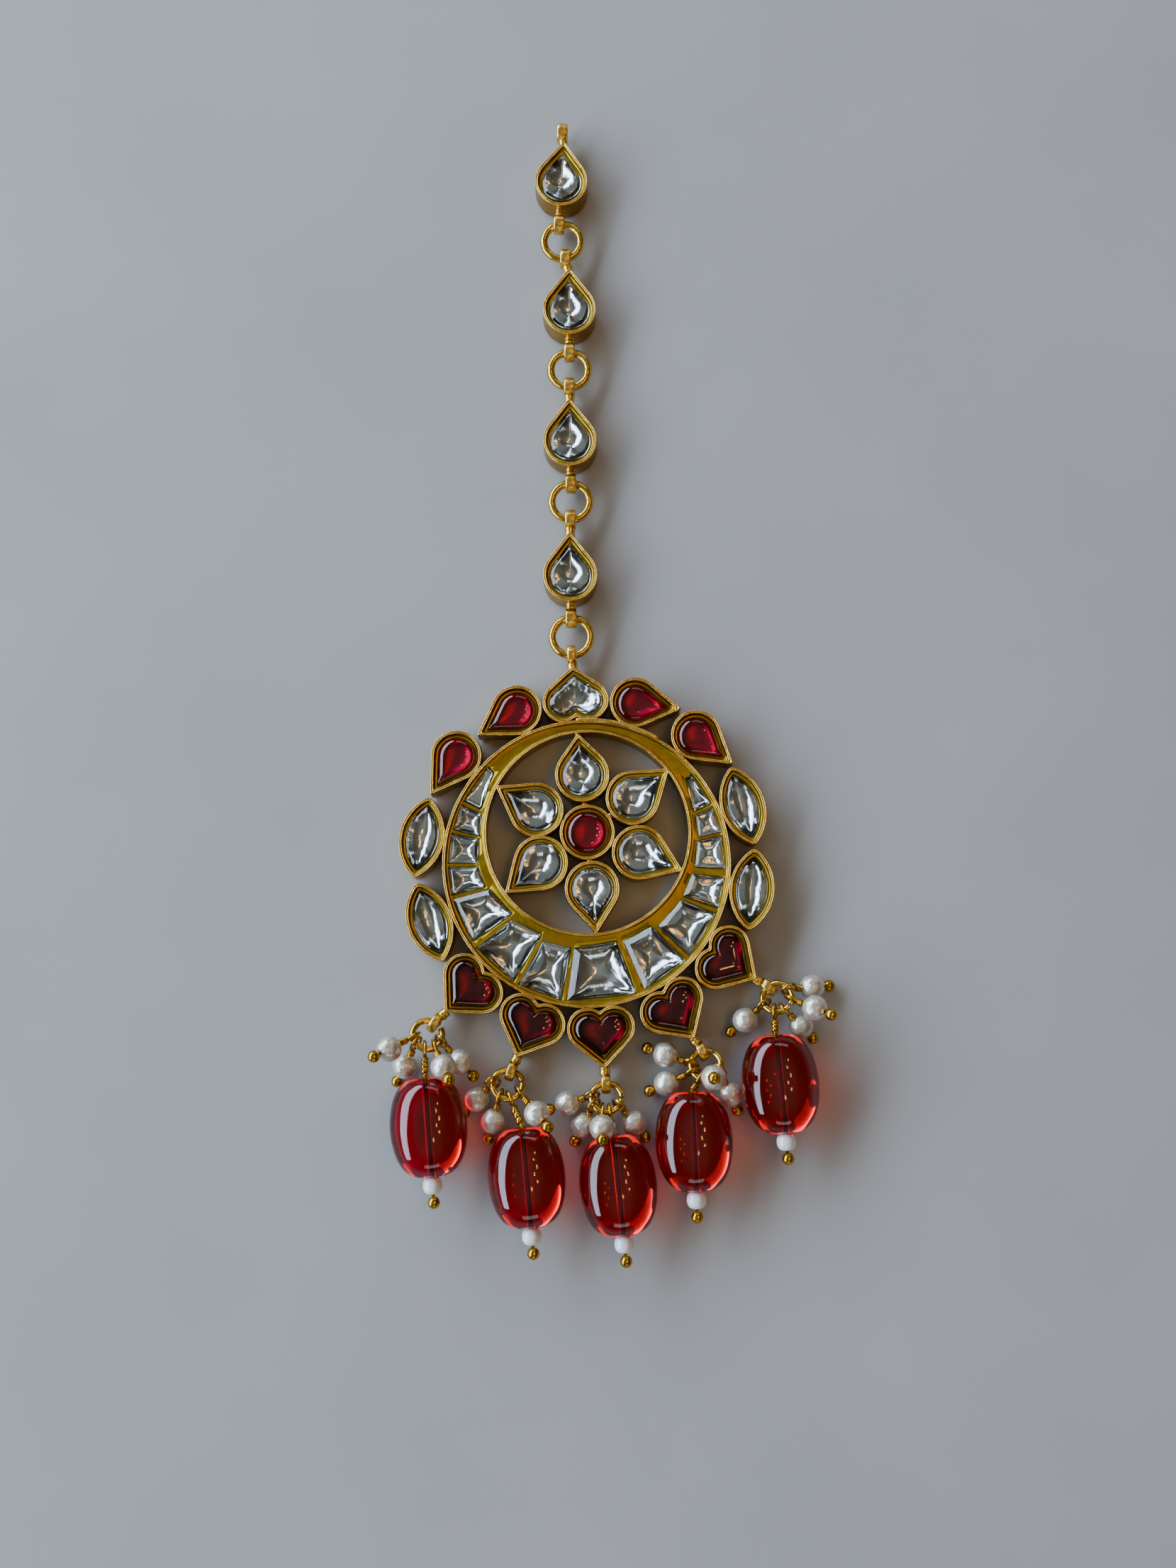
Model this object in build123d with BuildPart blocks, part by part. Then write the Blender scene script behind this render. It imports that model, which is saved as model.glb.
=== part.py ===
# Maang tikka, a kundan head jewel: four set links and their rings, a pendant, and five drops.
#
# Frame: millimetres, +Z up from the surface that it lies on, +Y along the chain, away from
# the drops. The origin is under the middle of the whole jewel. Turns are in degrees,
# counterclockwise seen from above. Places on the pendant count from the crescent's centre.

from build123d import *

import os
from math import acos, asin, atan2, cos, degrees, hypot, radians, sin, sqrt

os.makedirs("parts", exist_ok=True)

# ---- driving dimensions, mm ----
PENDANT_CENTRE = Vector(-2.15, -23.60, 0)

SETTING_HEIGHT = 3.5     # every gold setting, back to rim
RIM = 0.4                # thickness of the rim strip
BED_DROP = 0.6           # rim down to the gold bed round the stone
BED_WIDTH = 0.35         # bed between the rim strip and the stone
SEAT_DROP = 1.2          # bed down to the foiled seat under the stone
STONE_GAP = 0.04         # air beside and under a stone
STONE_RISE = 0.75        # a stone's top above the bed

EYE_RADIUS = 1.2         # soldered eyes, a short tube band
EYE_HOLE = 0.76
EYE_WIDTH = 1.3
DROP_EYE_WIDTH = 1.05    # the eyes at the hearts' tips
EYE_HEIGHT = 1.75        # an eye's axis above the surface
NECK_RADIUS = 0.5        # the post from a setting to its eye

LINK_WIDTH = 6.5         # teardrop setting of the chain
LINK_LENGTH = 8.56
LINK_TOP_EYE = 1.87      # tip to the top eye's axis
LINK_BOTTOM_EYE = 1.65   # round end to the bottom eye's axis
CHAIN_RING_RADIUS = 2.25  # to the middle of the wire
CHAIN_WIRE = 0.47        # radius

CRESCENT_RADIUS = 16.6
INNER_RADIUS = 12.0      # the ring round the flower
FLOWER_CENTRE = (0.08, 3.45)
CRESCENT_STONE_RADIUS = 15.9
CENTRE_BEZEL_RADIUS = 3.25
SOLDER_RADIUS = 0.45     # a solder fillet where two settings meet
SOLDER_HEIGHT = 2.4
BITE = 0.1               # how far a soldered setting reaches into the crescent's rim

TEARDROP_WIDTH = 5.95
TEARDROP_LENGTH = 8.55
MARQUISE_WIDTH = 5.3
MARQUISE_LENGTH = 9.7
HEART_WIDTH = 7.8
PETAL_WIDTH = 6.4
LOBE_SHARE = 0.615       # a heart's lobe radius, as a share of half its width

DROP_EYE = 1.6           # a heart's tip to its eye's axis
DROP_RING_RADIUS = 1.7   # to the middle of the wire
DROP_WIRE = 0.35         # radius
DROP_RING_LEAN = 24.0    # how steeply a drop's ring rises from its eye
RING_GAP_ANGLE = 12.0    # opening between a jump ring's cut ends

PIN_WIRE = 0.19          # radius of the headpins' wire
LOOP_RADIUS = 0.86       # a headpin's loop, to the middle of the wire
WRAP_RADIUS = 0.38       # the coil wrapped below a loop
HEAD_RADIUS = 0.7        # the ball at a headpin's end
PEARL_RADIUS = 1.45
BORE_RADIUS = 0.3        # hole through a pearl or tip bead
PIN_GAP = 0.04           # air between a bead and what holds it on its pin

BEAD_WIDTH = 8.8
BEAD_LENGTH = 10.9
BEAD_THICKNESS = 6.8
BEAD_BORE = 0.45
BEAD_MOUTH = 0.75        # countersink at the bore's ends
BEAD_MOUTH_DEPTH = 0.4
TIP_BEAD_RADIUS = 1.12
TIP_BEAD_REACH = 6.4     # a bead's middle to its tip bead's middle

BED_HEIGHT = SETTING_HEIGHT - BED_DROP
SEAT_HEIGHT = BED_HEIGHT - SEAT_DROP
SEAT_INSET = RIM + BED_WIDTH

# ---- chain: the links from the top, how far each lies off the line, its turn, its top eye's shift ----
LINKS = [
    # name, off_line, turn, top_eye_shift
    ("1", -1.40, -3.4, -0.35),
    ("2", -0.10, 0.0, -0.50),
    ("3", 0.10, 1.0, 0.00),
    ("4", 0.15, 0.9, 0.10),
]
CHAIN_LINE_X = PENDANT_CENTRE.X - 2.0

# ---- pendant settings round the crescent: bearing from the centre, and the tip's turn from it ----
TEARDROPS = [
    # name, bearing, tip_turn
    ("left_upper", 114.7, 98.5),
    ("left_lower", 140.7, 96.5),
    ("right_upper", 73.2, -81.0),
    ("right_lower", 49.3, -88.0),
]
MARQUISES = [
    # name, bearing, tip_turn
    ("left_upper", 171.5, -91.0),
    ("left_lower", 201.0, -91.5),
    ("right_upper", 19.9, 86.5),
    ("right_lower", -9.4, 94.0),
]
HEARTS = [
    # name, bearing, tip_turn, length, eye_turn
    ("heart_1", -132.9, -2.0, 7.05, 9.0),
    ("heart_2", -108.9, -3.8, 7.05, 4.0),
    ("heart_3", -85.0, 0.0, 7.05, -2.0),
    ("heart_4", -59.3, 3.0, 7.05, -8.0),
    ("heart_5", -35.1, 2.5, 7.05, -10.0),
    ("crown", 93.9, 1.0, 6.60, 0.0),
]

# ---- flower: petals by bearing and distance of the round end, tip's turn, overall length ----
PETALS = [
    # name, bearing, distance, tip_turn, length
    ("1", 95.0, 6.70, 1.0, 8.15),
    ("2", 37.2, 6.60, 1.5, 8.70),
    ("3", -21.5, 6.40, -1.0, 8.70),
    ("4", -85.0, 6.50, 1.0, 8.45),
    ("5", -146.3, 6.40, 7.0, 8.65),
    ("6", 156.2, 6.40, -6.5, 8.75),
]

# ---- crescent stones: bearings of the two ends, and how far in from the centre each end reaches ----
CRESCENT_STONES = [
    # start, end, inner_start, inner_end
    (136.0, 153.3, 15.0, 13.7),
    (155.4, 166.1, 13.3, 12.7),
    (168.0, 180.2, 12.7, 12.5),
    (182.4, 193.6, 12.5, 11.9),
    (195.8, 214.8, 11.6, 10.4),
    (217.8, 238.4, 10.8, 9.8),
    (241.0, 259.6, 10.3, 10.0),
    (262.0, 290.6, 9.9, 9.7),
    (294.6, 315.0, 10.0, 10.4),
    (317.8, 338.0, 11.0, 11.6),
    (340.8, 353.6, 11.7, 12.2),
    (357.6, 371.0, 12.4, 12.9),
    (372.9, 383.4, 13.2, 13.6),
    (385.4, 400.4, 13.7, 15.0),
]

# ---- drops: each ring's bearing from its eye, the bead's middle from the pendant's centre and the
# bead's bearing, the headpin's place round the ring, and where the ring is cut, both in degrees
# from the ring's far side ----
DROPS = [
    # name, ring_bearing, bead_x, bead_y, bead_bearing, pin_place, ring_cut
    ("1", 240.0, -17.65, -29.70, -85.0, 20.0, 160.0),
    ("2", 255.0, -6.66, -35.18, -84.5, 25.0, 120.0),
    ("3", 272.0, 3.51, -36.02, -84.0, 10.0, 90.0),
    ("4", 284.0, 11.98, -31.25, -88.0, -35.0, 140.0),
    ("5", 310.0, 21.74, -24.96, -85.0, -50.0, 20.0),
]

# ---- a bead's sections: place along its half length, and size ----
BEAD_SECTIONS = [
    # along, size
    (-1.0, 0.36), (-0.93, 0.56), (-0.82, 0.72), (-0.6, 0.88), (-0.3, 0.975),
    (0.0, 1.0), (0.3, 0.975), (0.6, 0.88), (0.82, 0.72), (0.93, 0.56), (1.0, 0.36),
]

# ---- pearls of each drop: loop's place round the ring in degrees, pearl from the ring's centre ----
PEARLS = {
    # loop_place, x, y, height
    "1": [(-50, -4.0, -1.5, 5.0), (-20, -2.6, -3.5, 1.7), (60, 2.1, -3.5, 5.3), (95, 3.7, -3.0, 2.2)],
    "2": [(-80, -3.5, -1.7, 1.6), (-15, -1.6, -4.1, 2.0), (70, 3.4, -3.1, 4.7)],
    "3": [(-100, -4.4, -0.7, 1.8), (-60, -2.6, -3.1, 1.7), (-20, -0.5, -3.1, 5.9), (55, 3.1, -2.9, 1.7)],
    "4": [(-110, -4.5, 1.1, 1.9), (-75, -4.4, -2.1, 1.7), (15, 0.6, -1.3, 6.0), (50, 2.8, -3.3, 1.6)],
    "5": [(-105, -3.6, -2.5, 1.5), (40, 3.9, -1.2, 4.8), (85, 4.1, 1.2, 1.5), (-10, 2.7, -3.2, 1.8)],
}


# ---- planes and directions ----
def heading(bearing):
    """Level unit vector at a bearing."""
    return Vector(cos(radians(bearing)), sin(radians(bearing)), 0)


def cell_plane(centre, tip_bearing):
    """Level plane at a setting, its Y axis towards the tip."""
    return Plane(origin=centre, x_dir=heading(tip_bearing - 90), z_dir=(0, 0, 1))


def round_pendant(bearing, distance):
    """Point on the pendant, by bearing and distance from the crescent's centre."""
    return PENDANT_CENTRE + heading(bearing) * distance


# ---- outlines, each about its own origin with its tip along +Y, drawn in by an inset ----
def teardrop_sizes(width, length, inset):
    """Round end's radius, tip's reach, and where the straight sides leave the round end."""
    radius = width / 2
    reach = length - radius
    shrink = (radius - inset) / radius
    return radius * shrink, reach * shrink, 90 - degrees(acos(radius / reach))


def teardrop(width, length, inset=0.0):
    """A round end and two straight sides that meet at the tip."""
    radius, reach, tangent = teardrop_sizes(width, length, inset)
    side_x, side_y = radius * cos(radians(tangent)), radius * sin(radians(tangent))
    with BuildSketch() as outline:
        with BuildLine():
            Polyline((-side_x, side_y), (0, reach), (side_x, side_y))
            ThreePointArc((side_x, side_y), (0, -radius), (-side_x, side_y))
        make_face()
    return outline.sketch


def teardrop_corners(width, length, inset):
    """The tip and eight corners round the round end."""
    radius, reach, tangent = teardrop_sizes(width, length, inset)
    return [(0, reach)] + arc_corners((0, 0), radius, tangent, -180 - tangent, 8)


def marquise_sizes(width, length, inset):
    """Radius of the two arcs, how far their centres stand off the middle, and half the length."""
    radius = (length**2 + width**2) / (4 * width)
    stand_off = radius - width / 2
    radius -= inset
    return radius, stand_off, sqrt(radius**2 - stand_off**2)


def marquise(width, length, inset=0.0):
    """Two equal arcs that meet at two tips."""
    radius, stand_off, reach = marquise_sizes(width, length, inset)
    with BuildSketch() as outline:
        with BuildLine():
            ThreePointArc((0, reach), (radius - stand_off, 0), (0, -reach))
            ThreePointArc((0, -reach), (stand_off - radius, 0), (0, reach))
        make_face()
    return outline.sketch


def marquise_corners(width, length, inset):
    """Two tips, and four corners along each side."""
    radius, stand_off, reach = marquise_sizes(width, length, inset)
    half = degrees(asin(reach / radius))
    right = arc_corners((-stand_off, 0), radius, half, -half, 6)
    return right + [(-x, -y) for x, y in right[1:-1]]


def heart_sizes(width, length, inset):
    """Lobe's radius, its centre's offset, the tip's reach, and where the sides leave the lobes."""
    lobe = LOBE_SHARE * width / 2
    offset_x = width / 2 - lobe
    reach = length - lobe
    span = hypot(offset_x, reach)
    half_tip = atan2(offset_x, reach) + asin(lobe / span)
    tangent = degrees(half_tip)
    return lobe - inset, offset_x, reach - inset / sin(half_tip), tangent


def heart(width, length, inset=0.0):
    """Two round lobes, a shallow notch between them at -Y, and straight sides to the tip."""
    lobe, offset_x, reach, tangent = heart_sizes(width, length, inset)
    side_x, side_y = offset_x + lobe * cos(radians(tangent)), lobe * sin(radians(tangent))
    notch = -sqrt(lobe**2 - offset_x**2)
    bottom_x, bottom_y = offset_x + lobe * cos(radians(-70)), lobe * sin(radians(-70))
    with BuildSketch() as outline:
        with BuildLine():
            Polyline((-side_x, side_y), (0, reach), (side_x, side_y))
            ThreePointArc((side_x, side_y), (bottom_x, bottom_y), (0, notch))
            ThreePointArc((0, notch), (-bottom_x, bottom_y), (-side_x, side_y))
        make_face()
    return outline.sketch


def heart_corners(width, length, inset):
    """The tip, four corners round each lobe, and the notch."""
    lobe, offset_x, reach, tangent = heart_sizes(width, length, inset)
    right = arc_corners((offset_x, 0), lobe, tangent, -90, 4)
    return [(0, reach)] + right + [(0, -sqrt(lobe**2 - offset_x**2))] + [(-x, y) for x, y in reversed(right)]


def disc(width, length, inset=0.0):
    """A round setting."""
    with BuildSketch() as outline:
        Circle(width / 2 - inset)
    return outline.sketch


def arc_corners(centre, radius, start, end, count):
    """Evenly spaced corners round an arc, both ends among them."""
    bearings = [radians(start + (end - start) * k / (count - 1)) for k in range(count)]
    return [(centre[0] + radius * cos(b), centre[1] + radius * sin(b)) for b in bearings]


OUTLINES = {"teardrop": teardrop, "marquise": marquise, "heart": heart, "disc": disc}
CORNERS = {"teardrop": teardrop_corners, "marquise": marquise_corners, "heart": heart_corners}


# ---- pieces that settings share ----
def add_outlines(cells, inset):
    """Adds each setting's outline, drawn in by an inset, to the level sketch that is open."""
    for cell in cells:
        name, kind, width, length, plane = cell[:5]
        with Locations(plane.location):
            add(OUTLINES[kind](width, length, inset))


def solder_eye(centre, bearing, foot, width=EYE_WIDTH):
    """An eye whose hole lies across a bearing, with its post back to a foot inside the setting."""
    axis = Plane(origin=centre, x_dir=heading(bearing), z_dir=heading(bearing - 90))
    post = foot - centre
    band_middle = (EYE_HOLE + EYE_RADIUS) / 2
    with BuildPart() as soldered:
        with BuildSketch(axis):
            Circle(EYE_RADIUS)
        extrude(amount=width / 2, both=True)
        with BuildSketch(Plane(origin=centre + post.normalized() * band_middle, z_dir=post.normalized())):
            Circle(NECK_RADIUS)
        extrude(amount=post.length - band_middle)
        with BuildSketch(axis):
            Circle(EYE_HOLE)
        extrude(amount=width, both=True, mode=Mode.SUBTRACT)
    return soldered.part


def cut_stone(corners, plane):
    """A cut stone: a straight girdle, two rows of facets and a table."""
    rows = [
        # height, size
        (SEAT_HEIGHT + STONE_GAP, 1.0),
        (BED_HEIGHT, 1.0),
        (BED_HEIGHT + 0.6 * STONE_RISE, 0.8),
        (BED_HEIGHT + STONE_RISE, 0.5),
    ]
    with BuildPart() as stone:
        for height, size in rows:
            with BuildSketch(plane.offset(height)):
                Polygon(*[(x * size, y * size) for x, y in corners], align=None)
        loft(ruled=True)
    return stone.part


def dome_stone(kind, width, length, plane):
    """A smooth cabochon: a straight girdle and a low dome."""
    inset = SEAT_INSET + STONE_GAP
    with BuildPart() as stone:
        with BuildSketch(plane.offset(SEAT_HEIGHT + STONE_GAP)):
            add(OUTLINES[kind](width, length, inset))
        extrude(amount=SEAT_DROP - STONE_GAP)
        for angle in (0, 30, 55, 75):
            size = cos(radians(angle))
            with BuildSketch(plane.offset(BED_HEIGHT + STONE_RISE * sin(radians(angle)))):
                add(OUTLINES[kind](width * size, length * size, inset * size))
        loft()
    return stone.part


def save(part, name):
    """Labels a finished piece and writes its STEP file."""
    part.label = name
    export_step(part, f"parts/{name}.step")


# ---- where every setting of the pendant stands ----
def settings_round_crescent():
    """Each outer setting: name, kind, width, length, plane, and the bearings of its solder."""
    cells = []
    for name, bearing, turn in TEARDROPS:
        centre = round_pendant(bearing, CRESCENT_RADIUS + TEARDROP_WIDTH / 2 - BITE)
        plane = cell_plane(centre, bearing + turn)
        cells.append((f"ruby_{name}", "teardrop", TEARDROP_WIDTH, TEARDROP_LENGTH, plane, [bearing]))
    for name, bearing, turn in MARQUISES:
        centre = round_pendant(bearing, CRESCENT_RADIUS + MARQUISE_WIDTH / 2 - BITE)
        plane = cell_plane(centre, bearing + turn)
        cells.append((f"marquise_{name}", "marquise", MARQUISE_WIDTH, MARQUISE_LENGTH, plane, [bearing]))
    lobe = LOBE_SHARE * HEART_WIDTH / 2
    half_span = degrees(asin((HEART_WIDTH / 2 - lobe) / (CRESCENT_RADIUS + lobe)))
    for name, bearing, turn, length, _ in HEARTS:
        centre = round_pendant(bearing, (CRESCENT_RADIUS + lobe - BITE) * cos(radians(half_span)))
        plane = cell_plane(centre, bearing + turn)
        cells.append((name, "heart", HEART_WIDTH, length, plane, [bearing - half_span, bearing + half_span]))
    return cells


def settings_in_flower():
    """The petals and the round centre: name, kind, width, length, plane."""
    middle = PENDANT_CENTRE + Vector(*FLOWER_CENTRE, 0)
    cells = [("centre", "disc", 2 * CENTRE_BEZEL_RADIUS, 2 * CENTRE_BEZEL_RADIUS, cell_plane(middle, 90))]
    for name, bearing, distance, turn, length in PETALS:
        plane = cell_plane(middle + heading(bearing) * distance, bearing + turn)
        cells.append((f"petal_{name}", "teardrop", PETAL_WIDTH, length, plane))
    return cells


def eye_past_tip(length, plane):
    """Where a heart's eye stands."""
    reach = length - LOBE_SHARE * HEART_WIDTH / 2 + DROP_EYE
    return plane.origin + plane.y_dir * reach + Vector(0, 0, EYE_HEIGHT)


def crescent_corners(row, inset):
    """Four corners of a crescent stone or its seat, drawn in by an inset."""
    start, end, inner_start, inner_end = row
    corners = []
    for bearing, inner, towards in ((start, inner_start, 1), (end, inner_end, -1)):
        for radius in (inner + inset, CRESCENT_STONE_RADIUS - inset):
            corner = heading(bearing + towards * degrees(inset / radius)) * radius
            corners.append((PENDANT_CENTRE.X + corner.X, PENDANT_CENTRE.Y + corner.Y))
    first_inner, first_outer, last_inner, last_outer = corners
    return [first_inner, first_outer, last_outer, last_inner]


outer_cells = settings_round_crescent()
flower_cells = settings_in_flower()
flower_middle = PENDANT_CENTRE + Vector(*FLOWER_CENTRE, 0)
eye_places = {
    name: eye_past_tip(length, plane)
    for name, kind, width, length, plane, solder in outer_cells
    if kind == "heart"
}

# ---- the pendant's gold frame, soldered into one piece ----
with BuildPart() as pendant_frame:
    with BuildSketch():
        with Locations(PENDANT_CENTRE):
            Circle(CRESCENT_RADIUS)
        with Locations(flower_middle):
            Circle(INNER_RADIUS - RIM, mode=Mode.SUBTRACT)
        add_outlines(outer_cells + flower_cells, 0)
    extrude(amount=SETTING_HEIGHT)
    with BuildSketch(Plane.XY.offset(BED_HEIGHT)):
        with Locations(PENDANT_CENTRE):
            Circle(CRESCENT_RADIUS - RIM)
        with Locations(flower_middle):
            Circle(INNER_RADIUS, mode=Mode.SUBTRACT)
        add_outlines(outer_cells + flower_cells, RIM)
    extrude(amount=BED_DROP, mode=Mode.SUBTRACT)
    with BuildSketch(Plane.XY.offset(SEAT_HEIGHT)):
        for row in CRESCENT_STONES:
            Polygon(*crescent_corners(row, 0), align=None)
        add_outlines(outer_cells + flower_cells, SEAT_INSET)
    extrude(amount=SEAT_DROP, mode=Mode.SUBTRACT)
    with BuildSketch():
        solder_bearings = [bearing for cell in outer_cells for bearing in cell[5]]
        with Locations([round_pendant(bearing, CRESCENT_RADIUS) for bearing in solder_bearings]):
            Circle(SOLDER_RADIUS)
        with Locations([flower_middle + heading(petal[1]) * CENTRE_BEZEL_RADIUS for petal in PETALS]):
            Circle(SOLDER_RADIUS)
    extrude(amount=SOLDER_HEIGHT)
    for name, bearing, turn, length, eye_turn in HEARTS:
        eye = eye_places[name]
        foot = eye - heading(bearing + turn) * (DROP_EYE + 0.6)
        add(solder_eye(eye, bearing + turn + eye_turn, foot, DROP_EYE_WIDTH))
save(pendant_frame.part, "pendant_frame")

# ---- the pendant's stones ----
for name, kind, width, length, plane, *_ in outer_cells + flower_cells:
    if name.startswith(("ruby", "heart", "centre")):
        save(dome_stone(kind, width, length, plane), f"{name}_stone")
    else:
        corners = CORNERS[kind](width, length, SEAT_INSET + STONE_GAP)
        save(cut_stone(corners, plane), f"{name}_stone")

with BuildPart() as crescent_stones:
    for row in CRESCENT_STONES:
        corners = crescent_corners(row, STONE_GAP)
        middle_x, middle_y = sum(x for x, y in corners) / 4, sum(y for x, y in corners) / 4
        centred = [(x - middle_x, y - middle_y) for x, y in corners]
        add(cut_stone(centred, Plane((middle_x, middle_y, 0))))
save(crescent_stones.part, "crescent_stones")

# ---- chain: from the crown's eye upwards, each link and the ring below it ----
eye_below = eye_places["crown"]
for name, off_line, turn, top_eye_shift in reversed(LINKS):
    up = heading(90 + turn)
    bottom_eye = Vector(CHAIN_LINE_X + off_line, eye_below.Y + 2 * CHAIN_RING_RADIUS, EYE_HEIGHT)
    round_end = bottom_eye + up * (LINK_BOTTOM_EYE + LINK_WIDTH / 2)
    plane = cell_plane(Vector(round_end.X, round_end.Y, 0), 90 + turn)
    tip = round_end + up * (LINK_LENGTH - LINK_WIDTH / 2)
    top_eye = tip + up * LINK_TOP_EYE + plane.x_dir * top_eye_shift
    cell = (name, "teardrop", LINK_WIDTH, LINK_LENGTH, plane)

    with BuildPart() as chain_setting:
        with BuildSketch():
            add_outlines([cell], 0)
        extrude(amount=SETTING_HEIGHT)
        add(solder_eye(bottom_eye, 90 + turn, round_end))
        add(solder_eye(top_eye, 90 + turn, tip - up * 0.9))
        with BuildSketch(Plane.XY.offset(BED_HEIGHT)):
            add_outlines([cell], RIM)
        extrude(amount=BED_DROP, mode=Mode.SUBTRACT)
        with BuildSketch(Plane.XY.offset(SEAT_HEIGHT)):
            add_outlines([cell], SEAT_INSET)
        extrude(amount=SEAT_DROP, mode=Mode.SUBTRACT)
    save(chain_setting.part, f"chain_setting_{name}")

    corners = teardrop_corners(LINK_WIDTH, LINK_LENGTH, SEAT_INSET + STONE_GAP)
    save(cut_stone(corners, plane), f"chain_stone_{name}")

    ring_middle = (eye_below + bottom_eye) / 2
    with BuildPart() as chain_ring:
        with BuildSketch(Plane(origin=ring_middle + Vector(CHAIN_RING_RADIUS, 0, 0), z_dir=(0, 1, 0))):
            Circle(CHAIN_WIRE)
        revolve(axis=Axis(ring_middle, (0, 0, 1)))
    save(chain_ring.part, f"chain_ring_{name}")
    eye_below = top_eye


# ---- drops ----
def ring_frame(eye, bearing):
    """A drop's ring: its centre, the way to its far side, the way across, and its normal."""
    far = heading(bearing) * cos(radians(DROP_RING_LEAN)) + Vector(0, 0, sin(radians(DROP_RING_LEAN)))
    across = heading(bearing + 90)
    return eye + far * DROP_RING_RADIUS, far, across, far.cross(across)


def loop_frame(ring, place, target):
    """Plane of a headpin's loop on the ring: X along the pin to its target, Z through the loop."""
    centre, far, across, _ = ring
    out = far * cos(radians(place)) + across * sin(radians(place))
    along_wire = across * cos(radians(place)) - far * sin(radians(place))
    spot = centre + out * DROP_RING_RADIUS
    pin = (target - spot).normalized()
    return Plane(origin=spot, x_dir=pin, z_dir=(along_wire - pin * along_wire.dot(pin)).normalized())


def rod(start, end, radius):
    """A round rod between two points, in the part that is open."""
    with BuildSketch(Plane(origin=start, z_dir=(end - start).normalized())) as section:
        Circle(radius)
    extrude(section.sketch, amount=(end - start).length)


def wire_loop(plane):
    """A closed loop of the headpins' wire."""
    section_plane = Plane(origin=plane.origin - plane.x_dir * LOOP_RADIUS, z_dir=plane.y_dir)
    with BuildSketch(section_plane) as wire:
        Circle(PIN_WIRE)
    revolve(wire.sketch, Axis(plane.origin, plane.z_dir), 360)


def shank(start, way, head):
    """A headpin's straight wire from a start to the ball at its end, turned in one."""
    side = way.cross(Vector(0, 0, 1)).normalized()
    ball_start = head - sqrt(HEAD_RADIUS**2 - PIN_WIRE**2)
    with BuildSketch(Plane(origin=start, x_dir=side, z_dir=side.cross(way))) as profile:
        with BuildLine():
            Polyline((0, 0), (PIN_WIRE, 0), (PIN_WIRE, ball_start))
            ThreePointArc((PIN_WIRE, ball_start), (HEAD_RADIUS, head), (0, head + HEAD_RADIUS))
            Line((0, head + HEAD_RADIUS), (0, 0))
        make_face()
    revolve(profile.sketch, Axis(start, way), 360)


def drilled_ball(centre, way, radius):
    """A pearl or tip bead, drilled along its pin."""
    side = way.cross(Vector(0, 0, 1)).normalized()
    mouth = sqrt(radius**2 - BORE_RADIUS**2)
    with BuildSketch(Plane(origin=centre, x_dir=side, z_dir=side.cross(way))) as profile:
        with BuildLine():
            ThreePointArc((BORE_RADIUS, -mouth), (radius, 0), (BORE_RADIUS, mouth))
            Line((BORE_RADIUS, mouth), (BORE_RADIUS, -mouth))
        make_face()
    revolve(profile.sketch, Axis(centre, way), 360)


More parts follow.
